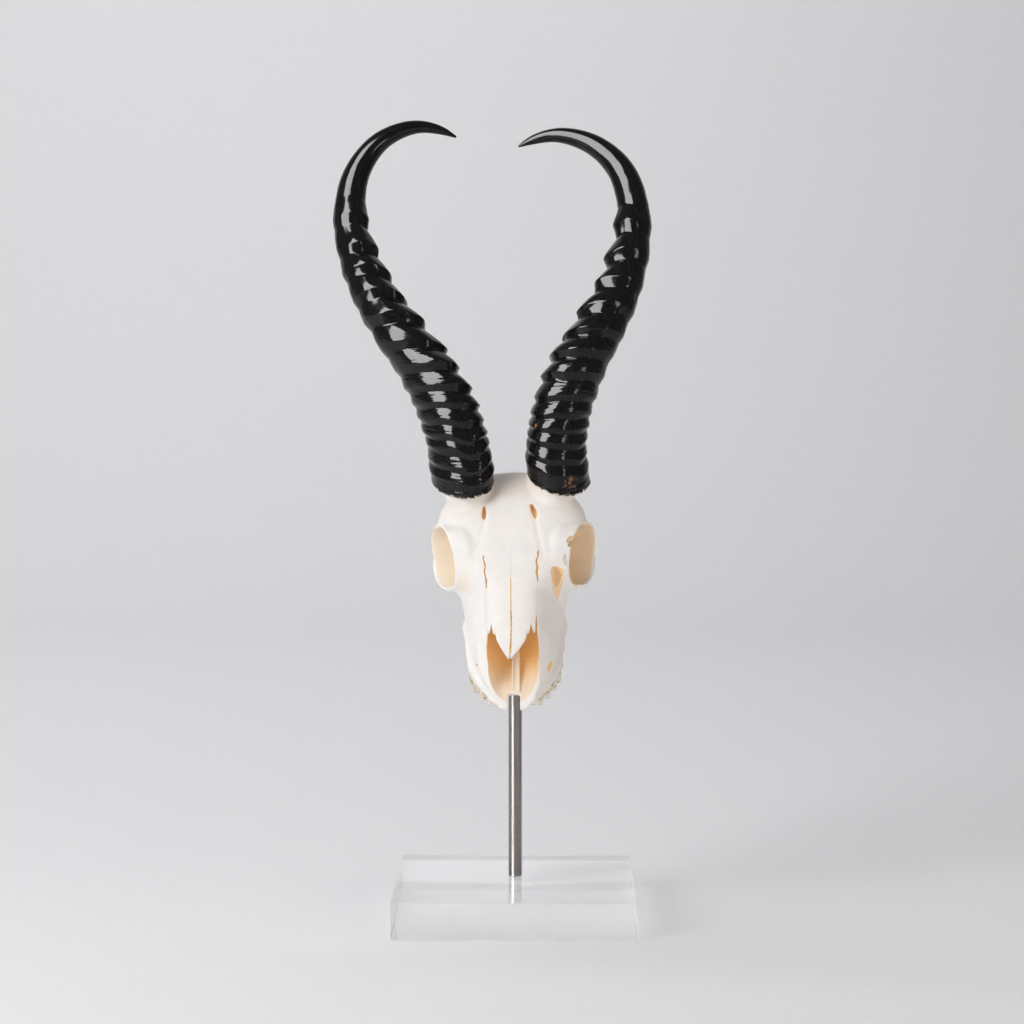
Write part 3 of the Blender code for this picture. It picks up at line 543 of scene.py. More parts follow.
def arch_clay(side):
    """Zygomatic arch, from the cheek under the orbit back to the ear."""
    path = [(41, 126, 31.5), (47.5, 136, 27.5), (50.5, 146, 26), (51.5, 156, 26.5), (49.5, 167, 28.5),
            (45, 179, 29.5), (38, 188, 29.5), (30, 194, 29)]
    radii = [(4.0, 4.0), (3.8, 3.8), (3.4, 3.8), (3.4, 4.4), (3, 4.2), (3.2, 4), (4, 4.4), (5, 5)]
    return tube("arch_clay", [(side * x, s, h) for x, s, h in path], radii)


def base_clay():
    """Keel of the skull's base, its plates beside the choanae, and the occipital pieces."""
    keel = ((146, 9, 17), (158, 9, 15), (172, 9, 12), (186, 10, 9), (200, 12, 8), (210, 14, 10))
    choana = ((112, 13, 0), (120, 13.5, -1), (134, 13, -1), (146, 12, 3), (154, 10, 10))
    made = [
        loft("keel_clay", [oval(s, w, w, low, low + 22.0, 2.6, 40) for s, w, low in keel]),
        loft("choana_clay", [oval(s, w, w, low, 34.0, 3.6, 48) for s, w, low in choana]),
    ]
    for side in (-1, 1):
        paroccipital = [(side * 25, 204, 22), (side * 25.5, 205, 8), (side * 24.5, 203, -5)]
        nuchal = [(side * 30, 196, 24), (side * 32, 199, 36), (side * 27, 206, 49)]
        made += [
            ball("condyle_clay", (side * 10.5, 210.5, 14), (7.2, 8, 9.2)),
            ball("bulla_clay", (side * 19.5, 188, 9), (7, 11, 9)),
            tube(
                "paroccipital_clay",
                paroccipital + [(side * 24, 202, -10)],
                [(4.5, 8), (3.2, 6), (2.4, 4), (1.4, 2)],
            ),
            tube(
                "nuchal_clay",
                nuchal + [(side * 14, 211, 54.5), (0, 212, 55.5)],
                [(2.6, 3), (2.8, 3.4), (2.8, 3.2), (2.6, 3), (2.6, 3)],
            ),
        ]
    return made


def pedicle_clay(table, to_skull):
    """The bony stub that a horn sheath sits on."""
    rim = Vector(table[0][:3])
    half = table[0][3]
    axis = Vector((0.0, -RIM_LEAN, 1.0)).normalized()
    side = Vector((1.0, 0.0, 0.0))
    front = axis.cross(side)
    rings = []
    inward = 1.0 if rim.x < 0 else -1.0
    for down, share in ((-4.0, 0.84), (2.0, 0.93), (7.0, 0.98), (14.0, 0.98), (28.0, 0.9)):
        ring = []
        for turn in circle(48):
            out = side * math.cos(turn) + front * math.sin(turn) * HORN_DEPTH_RATIO
            out *= 1.0 - 0.16 * max(0.0, -inward * math.cos(turn))
            centre = rim - axis * down + side * inward * 0.5 * max(down, 0.0)
            ring.append(to_skull @ (centre + out * half * share))
        rings.append(ring)
    return loft("pedicle_clay", rings)


def orbit_cutter(side):
    """The hollow of an orbit, open to the side and, deep in, to the temporal fossa."""
    rings = []
    for lift, radius, back, scale in (
        (12.0, 22.5, 0.0, 1.0), (3.0, 20.2, 0.0, 1.0), (-4.0, 19.2, 0.5, 1.0),
        (-10.0, 18.6, 1.5, 0.9), (-18.0, 17.0, 3.0, 0.6), (-25.0, 12.0, 5.0, 0.2),
        (-29.0, 5.0, 7.0, 0.0),
    ):
        ring = []
        for angle in circle(64):
            x, s, h = orbit_rim(angle, radius, lift)
            x = ORBIT_SIDE + lift + (x - lift - ORBIT_SIDE) * scale
            ring.append((side * x, s + back, h - back * 0.3))
        rings.append(ring)
    return loft("orbit_cutter", rings)


def fossa_cutters(side):
    """Temporal fossa behind the orbit's bar, and the open floor between arch and palate."""
    temporal = [
        (163.5, 53.0, 13.0, 24.0, 66.0), (167.0, 54.0, 19.0, 14.0, 71.0), (176.0, 54.0, 20.5, 10.0, 70.0),
        (186.0, 53.0, 19.0, 14.0, 63.0), (193.0, 52.0, 16.0, 24.0, 52.0),
    ]
    passage = [
        (146.0, 30.0, 6.0, 36.0, 56.0), (156.0, 30.0, 6.5, 34.0, 60.0), (167.0, 37.0, 7.0, 32.0, 62.0),
    ]
    floor_rings = [
        [(side * (25.0 + r * math.cos(a)), s + 3.0 + 1.2 * r * math.sin(a), h) for a in circle(40)]
        for h, s, r in ((4.0, 151.0, 12.0), (18.0, 149.0, 11.0), (30.0, 145.0, 10.5), (40.0, 142.0, 10.0))
    ]
    return [
        loft("temporal_cutter", [oval(s, w, w, lo, hi, 3.0, 56, side * x) for s, x, w, lo, hi in temporal]),
        loft("passage_cutter", [oval(s, w, w, lo, hi, 2.2, 40, side * x) for s, x, w, lo, hi in passage]),
        loft("floor_cutter", floor_rings),
    ]


def cavity_roof(s, top, low):
    """How high the nasal cavity reaches at station s, under the dorsal line."""
    return np.minimum(np.maximum(top - 0.5, low + 3.0), 57.0 - 2.0 * np.maximum(0.0, s - 104.0))


def nasal_bend(s):
    """How far the suture between the nasal bones strays to the left at station s."""
    return NASAL_BEND + NASAL_TIP_BEND * (np.maximum(0.0, 72.0 - s) / 18.5) ** 2


def nasal_cutter():
    rings = []
    for s in stations(NASAL_CAVITY, 2.0):
        half, low = hermite(NASAL_CAVITY, s)[0]
        rings.append(oval(s, half, half * 0.96, low, cavity_roof(s, dorsal(s), low), square=3.4))
    return loft("nasal_cutter", rings)


def front_cutters():
    """The slanting front of the maxillae, swept back at the sides, and the notch between their prongs."""
    rings = []
    for x in (-60.0, -APERTURE_SIDE, APERTURE_SIDE, 60.0):
        back = APERTURE_SWEEP * (abs(x) - APERTURE_SIDE)
        edge = [(x, s + back, h) for s, h in APERTURE_EDGE]
        rings.append(edge + [(x, APERTURE_EDGE[-1][0] + back, 90.0), (x, 10.0, 90.0), (x, 10.0, -7.0)])
    notch = [(30.0, -12.0), (PRONG_NOTCH_END, -12.0), (PRONG_NOTCH_END, 8.0), (30.0, 8.0)]
    return [skin("aperture_cutter", rings), prism("notch_cutter", notch, PRONG_NOTCH_HALF)]


def base_cutters():
    """The choanae, the vault of the palate, and the foramen magnum."""
    choana = [
        oval(s, half, half, low, high, square=3.2, count=40)
        for s, half, low, high in (
            (106, 6, 6, 12), (116, 8, 5, 14), (121, 9, -22, 15), (130, 9.3, -22, 19), (142, 9, -22, 22),
            (150, 7.5, -14, 20),
        )
    ]
    vault = []
    for s in stations(PALATE_VAULT, 2.0):
        half = float(hermite(PALATE_VAULT, s)[0, 0])
        vault.append(oval(s, half, half, -24.0, -0.4, square=3.0, count=48))
    magnum = [[(9.0 * math.cos(a), s, 25.0 + 8.5 * math.sin(a)) for a in circle(36)] for s in (190.0, 226.0)]
    return [loft("choana_cutter", choana), loft("vault_cutter", vault), loft("magnum_cutter", magnum)]


def sight_point(x, q, w):
    """From the front view, across, up and deep, to the skull's frame."""
    s0, h0 = VIEW_START
    up, deep = math.sin(VIEW_TILT), math.cos(VIEW_TILT)
    return (x, s0 + q * up + w * deep, h0 + q * deep - w * up)


def to_sight(points):
    """Up and deep of points of the skull's frame, in the front view."""
    s, h = points[:, 1] - VIEW_START[0], points[:, 2] - VIEW_START[1]
    up, deep = math.sin(VIEW_TILT), math.cos(VIEW_TILT)
    return s * up + h * deep, s * deep - h * up


def surface_depth(tree, x, q):
    """How deep the bone's surface lies at a place of the front view."""
    start = Vector(sight_point(x, q, -60.0)) * MM
    along = Vector((0.0, math.cos(VIEW_TILT), -math.sin(VIEW_TILT)))
    return tree.ray_cast(start, along)[3] / MM - 60.0


def opening_cutter(tree, outline, depth, shrink):
    """A hole that keeps its outline from the front and narrows as it goes in."""
    fine = []
    for (xa, qa), (xb, qb) in zip(outline, outline[1:] + outline[:1]):
        fine += [(xa, qa), ((xa + xb) / 2, (qa + qb) / 2)]
    middle_x = sum(x for x, _q in fine) / len(fine)
    middle_q = sum(q for _x, q in fine) / len(fine)
    deepest = [surface_depth(tree, x, q) for x, q in fine]
    if max(deepest) - min(deepest) > 8.0:
        deepest = [min(deepest)] * len(fine)
    near = [sight_point(x, q, w - 4.0) for (x, q), w in zip(fine, deepest)]
    level = [sight_point(x, q, w + 0.4) for (x, q), w in zip(fine, deepest)]
    far = []
    for (x, q), w in zip(fine, deepest):
        x, q = middle_x + (x - middle_x) * shrink, middle_q + (q - middle_q) * shrink
        far.append(sight_point(x, q, w + depth))
    return loft("opening_cutter", [near, level, far])


def groove_cutter(tree, path):
    """A shallow groove along places of the front view, given with its half-width and depth."""
    centres = [
        sight_point(x, q, surface_depth(tree, x, q) - (radius - deep)) for x, q, radius, deep in path
    ]
    return tube("groove_cutter", centres, [(radius, radius) for _x, _q, radius, _deep in path])


def nasal_rings(side, grow=0.0):
    """Rings of the block that holds one nasal bone, from its tip back: from the midline outward."""
    rings = []
    across = 9
    for s, half in hermite_rows(NASALS, 1.5):
        bend = float(nasal_bend(s))
        arch = 2 * float(hermite(NASAL_ARCH, s)[0, 0])
        ragged = 0.75 + 1.1 * noise.noise(Vector((s * 0.55, 3.0, 0.0)))
        inner = -0.2 if grow else max(0.01, float(hermite(NASAL_SUTURE, s)[0, 0]) / 2 * ragged)
        half = max(half + grow, inner + 0.8)
        top, under = [], []
        for k in range(across):
            x = inner + (half - inner) * k / (across - 1)
            h = dorsal(s) - x * x / arch
            top.append((side * x - bend, s, h + 6.0))
            under.append((side * x - bend, s, h - NASAL_THICK - grow))
        rings.append(top + under[::-1])
    rings[0] = [(x, s - grow, h) for x, s, h in rings[0]]
    rings[-1] = [(x, s + grow, h) for x, s, h in rings[-1]]
    return rings


def hermite_rows(table, step):
    """(place, value) pairs read off a smooth table at even steps, its ends included."""
    first, last = table[0][0], table[-1][0]
    places = np.linspace(first, last, int(round((last - first) / step)) + 1)
    return [(float(p), float(v)) for p, v in zip(places, hermite(table, places)[:, 0])]


def vomer_clay():
    """A trough that rises from the floor of the nasal cavity, two plates with bone between, and a spicule."""
    plate = ((54.0, 3.6), (66.0, 6.2), (90.0, 11.5), (112.0, 18.0))
    trough = ((54.0, 2.8), (66.0, 5.2), (90.0, 10.2), (112.0, 16.4))
    left, right = VOMER_PLATES
    half = VOMER_THICK / 2
    made = []
    for x, half, edge in (
        (left, half, plate), (right, half, plate), (sum(VOMER_PLATES) / 2, (right - left) / 2, trough),
    ):
        made.append(prism("vomer_clay", [(54.0, 1.0), *edge, (112.0, 1.0)], half))
        made[-1].data.transform(Matrix.Translation((x * MM, 0.0, 0.0)))
    spicule = [(5.4, 84.0, 3.0), (10.2, 84.3, 4.2), (15.2, 84.0, 3.6)]
    return made + [tube("spicule_clay", spicule, [(0.55, 0.55)] * 3, 12)]


def seam_slab(name, to_front):
    """All the space on one side of the seam between face and cranium."""
    (s_top, h_top), (s_low, h_low) = SEAM_TOP, SEAM_LOW
    lean = (s_low - s_top) / (h_low - h_top)
    ends = [(s_top + lean * (h - h_top), h) for h in (-60.0, 140.0)]
    far = -60.0 if to_front else 330.0
    return prism(name, [ends[0], ends[1], (far, 140.0), (far, -60.0)], 90.0)


def rod_solid(name, sides, *levels):
    """A round bar round the rod's axis through levels of height and radius."""
    turns = circle(sides)
    rings = [[(r * math.cos(a), ROD_Y + r * math.sin(a), z) for a in turns] for z, r in levels]
    return loft(name, rings)


def tooth(side, index):
    """One cheek tooth as a grid: its wall goes round, and its crown rises to worn cusps."""
    s, outer, tip, length = TEETH[index]
    lobes = 1 if index < 3 else 2
    rng = np.random.default_rng(40 + 10 * index + (side > 0))
    wear = rng.uniform(-0.8, 0.8, 8)
    levels = (
        (1.4, 0.72, 0.0), (-0.6, 0.80, 0.0), (-3.0, 0.92, 0.0), (-6.0, 1.0, 0.0), (-8.0, 0.99, 0.3),
        (-9.2, 0.95, 0.7), (-9.8, 0.86, 1.0), (-9.9, 0.72, 1.0), (-9.4, 0.55, 1.0), (-8.6, 0.36, 1.0),
        (-8.2, 0.18, 1.0),
    )
    rings = []
    for level, share, crown in levels:
        ring = []
        for turn in circle(48):
            out, along = math.cos(turn), math.sin(turn)
            waist = 1.0
            if lobes == 2:
                waist = 1.0 - 0.17 * math.exp(-((along / 0.22) ** 2)) * (1.0 if out < 0 else 0.55)
            ridge = 0.055 * math.cos(6 * lobes * turn / 2) * (1.0 if out > 0 else 0.4)
            half_wide = TOOTH_WIDTH / 2 * share * (waist + ridge)
            half_long = (length / 2 + 0.1) * share * (1 - 0.03 * math.cos(4 * turn))
            depth = (tip + 0.6) / -9.9
            h = level * (depth if level < -3 else 1.0)
            cusp = 2.5 * max(out, 0.0) + 1.0 * max(-out, 0.0)
            cusp *= 0.55 + 0.45 * math.cos(2 * math.pi * (along * lobes / 2 + 0.5 * (lobes == 1)) + math.pi)
            h -= crown * cusp * share
            h += crown * (1 - share) * 1.5
            h += crown * wear[int(4 + 3.9 * along)] * 0.5
            ring.append((side * (outer - TOOTH_WIDTH / 2 + half_wide * out), s + half_long * along, h))
        rings.append(ring)
    return loft("tooth", rings)


def skull_bones():
    """The bones, cut from one clay, and the cheek teeth, in the model's frame."""
    to_skull = skull_pose().inverted()
    skull = face_clay()
    clay = [frontal_clay(), braincase_clay()] + base_clay()
    for side in (-1, 1):
        clay += [alveolar_clay(side), rim_clay(side)]
    clay += [pedicle_clay(table, to_skull) for table in HORNS.values()]
    triangulate(skull)
    boolean(skull, clay, "UNION")
    remesh(skull, CLAY_VOXEL, 6)
    tree = bone_tree([skull])
    cutters = base_cutters() + [groove_cutter(tree, path) for path in GROOVES]
    boolean(skull, cutters + fossa_cutters(-1) + fossa_cutters(1), "DIFFERENCE")
    boolean(skull, [arch_clay(-1), arch_clay(1)], "UNION")
    boolean(skull, [orbit_cutter(-1), orbit_cutter(1)], "DIFFERENCE")
    remesh(skull, BONE_VOXEL, 3)
    keep_largest(skull)
    tree = bone_tree([skull])

    def openings():
        return [opening_cutter(tree, outline, depth, shrink) for outline, depth, shrink, _warm in OPENINGS]

    pieces = {}
    for side, name in ((-1, "nasal_bone_left"), (1, "nasal_bone_right")):
        nasal = duplicate(skull, name)
        boolean(nasal, [loft("nasal_block", nasal_rings(side))], "INTERSECT")
        boolean(nasal, openings(), "DIFFERENCE")
        keep_largest(nasal)
        pieces[name] = nasal
    boolean(skull, [nasal_cutter()] + front_cutters(), "DIFFERENCE")
    keep_largest(skull)
    remesh(skull, BONE_VOXEL, 3)
    bore = ROD_RADIUS + 0.1
    bodies = [rod_solid("bore", 64, (-60.0, bore), (ROD_TOP + 0.1, bore))]
    bodies += [horn_solid(name, 0.12, 75.0, 36) for name in HORNS]
    for body in bodies:
        body.data.transform(scaled(to_skull))
    bodies += openings() + [loft("nasal_seat", nasal_rings(side, NASAL_FIT)) for side in (-1, 1)]
    boolean(skull, bodies, "DIFFERENCE")
    keep_largest(skull)
    cranium = duplicate(skull, "cranium_bone")
    boolean(cranium, [seam_slab("seam", True)], "DIFFERENCE")
    skull.name = "maxilla_bones"
    boolean(skull, [seam_slab("seam", False)], "DIFFERENCE")
    boolean(skull, vomer_clay(), "UNION")
    pieces["cranium_bone"] = cranium
    pieces["maxilla_bones"] = skull
    for thing in pieces.values():
        keep_largest(thing)
    mark_warmth(pieces.values(), tree, to_skull)
    mark_hollows(list(pieces.values()))
    for side, name in ((-1, "cheek_teeth_left"), (1, "cheek_teeth_right")):
        row = tooth(side, 0)
        triangulate(row)
        boolean(row, [tooth(side, index) for index in range(1, len(TEETH))], "UNION")
        row.name = name
        pieces[name] = row
    for thing in pieces.values():
        thing.data.transform(scaled(skull_pose()))
    return pieces


def bone_tree(things):
    joined = bmesh.new()
    for thing in things:
        joined.from_mesh(thing.data)
    tree = BVHTree.FromBMesh(joined)
    joined.free()
    return tree


def within(outline, x, q, margin=0.06):
    """Which places of the front view lie inside an outline, or on its edge."""
    inside = np.zeros(len(x), bool)
    near = np.zeros(len(x), bool)
    for (xa, qa), (xb, qb) in zip(outline, outline[1:] + outline[:1]):
        if qa != qb:
            crossing = (xb - xa) * (q - qa) / (qb - qa) + xa
            inside ^= ((qa > q) != (qb > q)) & (x < crossing)
        length = (xb - xa) ** 2 + (qb - qa) ** 2
        t = np.clip(((x - xa) * (xb - xa) + (q - qa) * (qb - qa)) / length, 0.0, 1.0)
        near |= np.hypot(x - xa - t * (xb - xa), q - qa - t * (qb - qa)) < margin
    return inside | near


def warmth(centres, tree):
    """How warm the bone's colour is at each place, and how much painted glow it gets: orbits, nasal cavity
    and openings. The warm tint is partly the bone's own colour and partly painted light through thin bone.
    """
    x, s, h = centres.T
    warm, glow = np.zeros((2, len(x)), np.float32)
    top = hermite(DORSAL_LINE, s)[:, 0]
    s0, h0 = ORBIT_CENTRE
    reach = np.hypot(s - s0, h - h0) / orbit_share(np.arctan2(h - h0, s - s0))
    flare = (ORBIT_FLARE_BACK * (s - s0) + ORBIT_FLARE_UP * (h - h0)) / ORBIT_RADIUS
    deep = ORBIT_SIDE + flare - np.abs(x)
    orbit = (reach < ORBIT_RADIUS - 0.2) & (deep > 0.5) & (deep < 36.0)
    # Orbits: warmer deeper in and on the +x side, partly the bone's own colour and partly painted light, with
    # a faint painted glow.
    warm[orbit] = (0.31 + 0.07 * np.sign(x) + 0.14 * smoothstep(2.0, 24.0, deep))[orbit]
    glow[orbit] = 0.12
    half, low = hermite(NASAL_CAVITY, s).T
    high = cavity_roof(s, top, low)
    across, up = x / half, (h - (low + high) / 2) / ((high - low) / 2)
    arch = 2 * hermite(NASAL_ARCH, s)[:, 0]
    cavity = (np.abs(across) ** 3.4 + np.abs(up) ** 3.4 < 1.06) & (s > 40.0) & (s < 123.0)
    cavity &= h < top - x * x / arch - NASAL_THICK + 0.35
    # Nasal cavity: cream at the front to orange further back, partly the bone's own colour and partly painted
    # light through the thin nasals; its painted glow grows further back.
    warm[cavity] = (0.24 + 0.54 * smoothstep(50.0, 96.0, s))[cavity]
    glow[cavity] = (0.15 + 0.85 * smoothstep(54.0, 92.0, s))[cavity]
    # The gap between the nasal bones: painted orange glow, as if lit from the cavity.
    seam = (np.abs(x + nasal_bend(s)) < 0.6) & (s > 55.0) & (s < 112.0) & (h < top - 0.15) & (h > top - 2.5)
    warm[seam], glow[seam] = 0.8, 0.8
    trough = (x > VOMER_PLATES[0] - 0.7) & (x < VOMER_PLATES[1] + 0.7) & (s < 112.5) & (s > 53.5)
    warm[cavity & trough & (up < 0.6)] = 0.2
    glow[cavity & trough & (up < 0.6)] = 0.1
    q, w = to_sight(centres)
    # Openings take their own warmth, and a painted glow that grows with it.
    for outline, depth, _shrink, warm_inside in OPENINGS:
        levels = [surface_depth(tree, *place) for place in outline]
        found = within(outline, x, q) & (w > min(levels) - 1.0) & (w < max(levels) + depth + 0.5)
        warm[found & ~orbit] = warm_inside
        glow[found & ~orbit] = 1.4 * warm_inside ** 2
    return warm, glow


def mark_warmth(things, tree, to_skull):
    """Writes to each bone the warmth and painted glow of its faces, and the painted shade on the poll between
    the horns, darker too in a band round each horn's rim.
    """
    for mesh in [thing.data for thing in things]:
        centres = read_array(mesh.polygons, "center", 3).astype(float) / MM
        for name, values in zip(("warm", "glow"), warmth(centres, tree)):
            write_attribute(mesh, name, values, "FACE")
        x, s, h = (read_array(mesh.vertices, "co", 3).astype(float) / MM).T
        # Painted shade on the poll between the horns.
        dusk = smoothstep(150.0, 168.0, s) * (1 - smoothstep(14.0, 30.0, np.abs(x - 1.5)))
        dusk *= smoothstep(60.0, 74.0, h)
        # Darker too in a band round each horn's rim.
        for table in HORNS.values():
            rim = to_skull @ Vector(table[0][:3])
            away = np.sqrt((x - rim.x) ** 2 + (s - rim.y) ** 2 + (h - rim.z) ** 2) - table[0][3]
            dusk = np.maximum(dusk, 0.42 * (1 - smoothstep(1.0, 12.0, away)))
        write_attribute(mesh, "dusk", dusk)


def ring_profile(place, crests):
    """Ring height, 1 at a crest: it falls above the crest, then rises to the next."""
    ends = list(crests) + [crests[-1] + RING_FADE]
    if place < ends[0]:
        return 0.2 + 0.8 * (place / ends[0]) ** 3 if place > 0.45 * ends[0] else 0.25
    if place >= ends[-1]:
        return 0.0
    i = int(np.searchsorted(ends, place, side="right")) - 1
    t = (place - ends[i]) / (ends[i + 1] - ends[i])
    last = i == len(crests) - 1
    if t < 0.64:
        return 1 - (t / 0.64) ** 1.6
    return 0.0 if last else ((t - 0.64) / 0.36) ** 1.2


def horn_places(length):
    """Rows along a horn: close together on the rings, wider on the smooth end."""
    low = np.arange(0.0, RING_LAST + 20.0, 0.45)
    high = np.linspace(low[-1] + 0.45, length, 130)
    return np.concatenate([low, high])


def horn_frame(name):
    table = HORNS[name]
    centres = np.array([row[:3] for row in table])
    along = np.concatenate([[0.0], np.cumsum(np.linalg.norm(np.diff(centres, axis=0), axis=1))])
    knots = np.column_stack([along, centres, [row[3] for row in table]])
    return knots, along[-1]


def horn_ring(name, knots, length, place, sides, radius_of):
    """The points of one row of a horn, and where they would be on a straight horn."""
    inward = 1.0 if knots[0, 1] < 0 else -1.0
    rim_normal = Vector((-inward * RIM_TILT[name], -RIM_LEAN, 1.0)).normalized()
    here = hermite(knots, place)[0]
    ahead, behind = hermite(knots, [place + 1.0, place - 1.0])[:, :3]
    axis = Vector(ahead - behind).normalized()
    level = 1 - float(smoothstep(RING_LAST, RING_LAST + 50.0, place))
    normal = Vector((axis.x * (1 - level), axis.y, axis.z)).normalized()
    normal = rim_normal.lerp(normal, float(smoothstep(0.0, RIM_LEAN_LENGTH, place))).normalized()
    side = Vector((0.0, 1.0, 0.0)).cross(axis).normalized() * inward
    front = axis.cross(side).normalized()
    front = front if front.y < 0 else -front
    depth = 1 + (HORN_DEPTH_RATIO - 1) * (1 - place / length)
    shear = SECTION_SHEAR[name] * (1 - float(smoothstep(*SECTION_SHEAR_ENDS, place)))
    ring, straight = [], []
    for turn in circle(sides):
        radius, slide = radius_of(turn, place, here[3])
        across, deep = math.cos(turn), math.sin(turn) * depth + math.cos(turn) * shear
        out = (side * across + front * deep) * radius
        drop = -normal.dot(out) / normal.dot(axis)
        ring.append(Vector(here[:3]) + out + axis * (drop + slide))
        straight.append((radius * math.cos(turn), radius * math.sin(turn), place))
    return ring, straight


def ring_strength(turn, grown):
    turned = 0.5 - 0.5 * math.cos(turn - RING_FACING)
    return 1 - (0.25 + 0.45 * grown) * min(1.0, 1.5 * turned)


def ring_crest(place):
    grown = float(smoothstep(*RING_HEIGHT_GROWS, place))
    crest = RING_HEIGHT[0] + (RING_HEIGHT[1] - RING_HEIGHT[0]) * grown
    return grown, crest * (1 - 0.7 * float(smoothstep(170.0, RING_LAST + 15.0, place)))


def horn_solid(name, grow, reach, sides):
    """The outer skin of a horn, swollen by a little, to cut its seat into the bone."""
    knots, length = horn_frame(name)
    crests = RING_CRESTS[name]

    def radius_of(turn, place, half):
        grown, crest = ring_crest(place)
        height = ring_profile(place, crests)
        return half - 0.4 * crest + crest * height * ring_strength(turn, grown) + grow, 0.0

    rings = []
    for place in np.arange(0.0, reach, 1.5):
        rings.append(horn_ring(name, knots, length, float(place), sides, radius_of)[0])
    return loft("horn_body", rings)


def horn_piece(name):
    """A horn sheath with its rings, fine ridges and frayed rim."""
    knots, length = horn_frame(name)
    crests = RING_CRESTS[name]
    seed = 3.1 if name == "horn_left" else 47.7

    def radius_of(turn, place, half):
        grown, crest = ring_crest(place)
        across, deep = math.cos(turn), math.sin(turn)

        def rough(round_scale, long_scale, shift):
            spot = Vector((across * round_scale, deep * round_scale, place * long_scale + seed + shift))
            return noise.noise(spot)

        wander = 2.4 * rough(1.0, 0.03, 0.0) + 0.9 * rough(2.4, 0.05, 5.0)
        height = ring_profile(max(place + wander, 0.0), crests)
        height *= 1.0 + 0.45 * rough(1.3, 0.06, 9.0)
        radius = half - 0.4 * crest + crest * height * ring_strength(turn, grown)
        fade = 1 - float(smoothstep(RING_LAST - 20.0, RING_LAST + 60.0, place))
        low = 1 - float(smoothstep(50.0, 120.0, place))
        radius += fade * (0.035 * rough(17.0, 0.03, 0.0) + 0.25 * rough(3.0, 0.12, 0.0))
        radius += low * (0.20 * rough(1.6, 0.8, 13.0) + 0.12 * rough(5.0, 1.3, 17.0))
        rim = math.exp(-place / 3.0)
        slide = rim * max(0.0, 0.1 + 0.6 * rough(4.0, 0.0, 21.0) + 0.6 * rough(9.0, 0.0, 23.0))
        corner = RIM_CORNER[name] * math.exp(-(((turn - math.pi) / 0.3) ** 2)) * math.exp(-place / 5.0)
        return radius + corner, slide

    rings, straight = [], []
    for place in horn_places(length):
        ring, flat = horn_ring(name, knots, length, float(place), HORN_SIDES, radius_of)
        rings.append(ring)
        straight += flat
    thing = loft(name + "_sheath", rings)
    straight += [(0.0, 0.0, 0.0), (0.0, 0.0, length)]
    grain = thing.data.attributes.new("straight", "FLOAT_VECTOR", "POINT")
    grain.data.foreach_set("vector", (np.array(straight, np.float32) * MM).ravel())
    return thing


def stand_block():
    shell = bmesh.new()
    bmesh.ops.create_cube(shell, size=1.0)
    bmesh.ops.scale(shell, verts=shell.verts, vec=Vector((BLOCK_SIDE, BLOCK_SIDE, BLOCK_THICK)) * MM)
    bmesh.ops.translate(shell, verts=shell.verts, vec=(0.0, 0.0, BLOCK_THICK / 2 * MM))
    bmesh.ops.bevel(
        shell, geom=shell.edges, offset=BLOCK_BEVEL * MM, segments=3, profile=0.5, affect="EDGES"
    )
    mesh = bpy.data.meshes.new("block")
    shell.to_mesh(mesh)
    shell.free()
    return add_object("clear_block", mesh)


def stand_rod():
    """A turned rod with a small chamfer at each end."""
    slim = ROD_RADIUS - ROD_CHAMFER
    shaft = ((ROD_FOOT + ROD_CHAMFER, ROD_RADIUS), (ROD_TOP - ROD_CHAMFER, ROD_RADIUS))
    return rod_solid("steel_rod", 96, (ROD_FOOT, slim), *shaft, (ROD_TOP, slim))


class Wire:
    """An output socket, so that shader maths reads as an expression."""

    def __init__(self, finish, socket):
        self.finish = finish
        self.socket = socket

    def maths(self, operation, *values):
        return self.finish.node("ShaderNodeMath", {"operation": operation}, dict(enumerate(values)))

    def __add__(self, other):
        return self.maths("ADD", self, other)

    def __radd__(self, other):
        return self.maths("ADD", other, self)

    def __sub__(self, other):
        return self.maths("SUBTRACT", self, other)

    def __rsub__(self, other):
        return self.maths("SUBTRACT", other, self)

    def __mul__(self, other):
        return self.maths("MULTIPLY", self, other)

    def __rmul__(self, other):
        return self.maths("MULTIPLY", other, self)

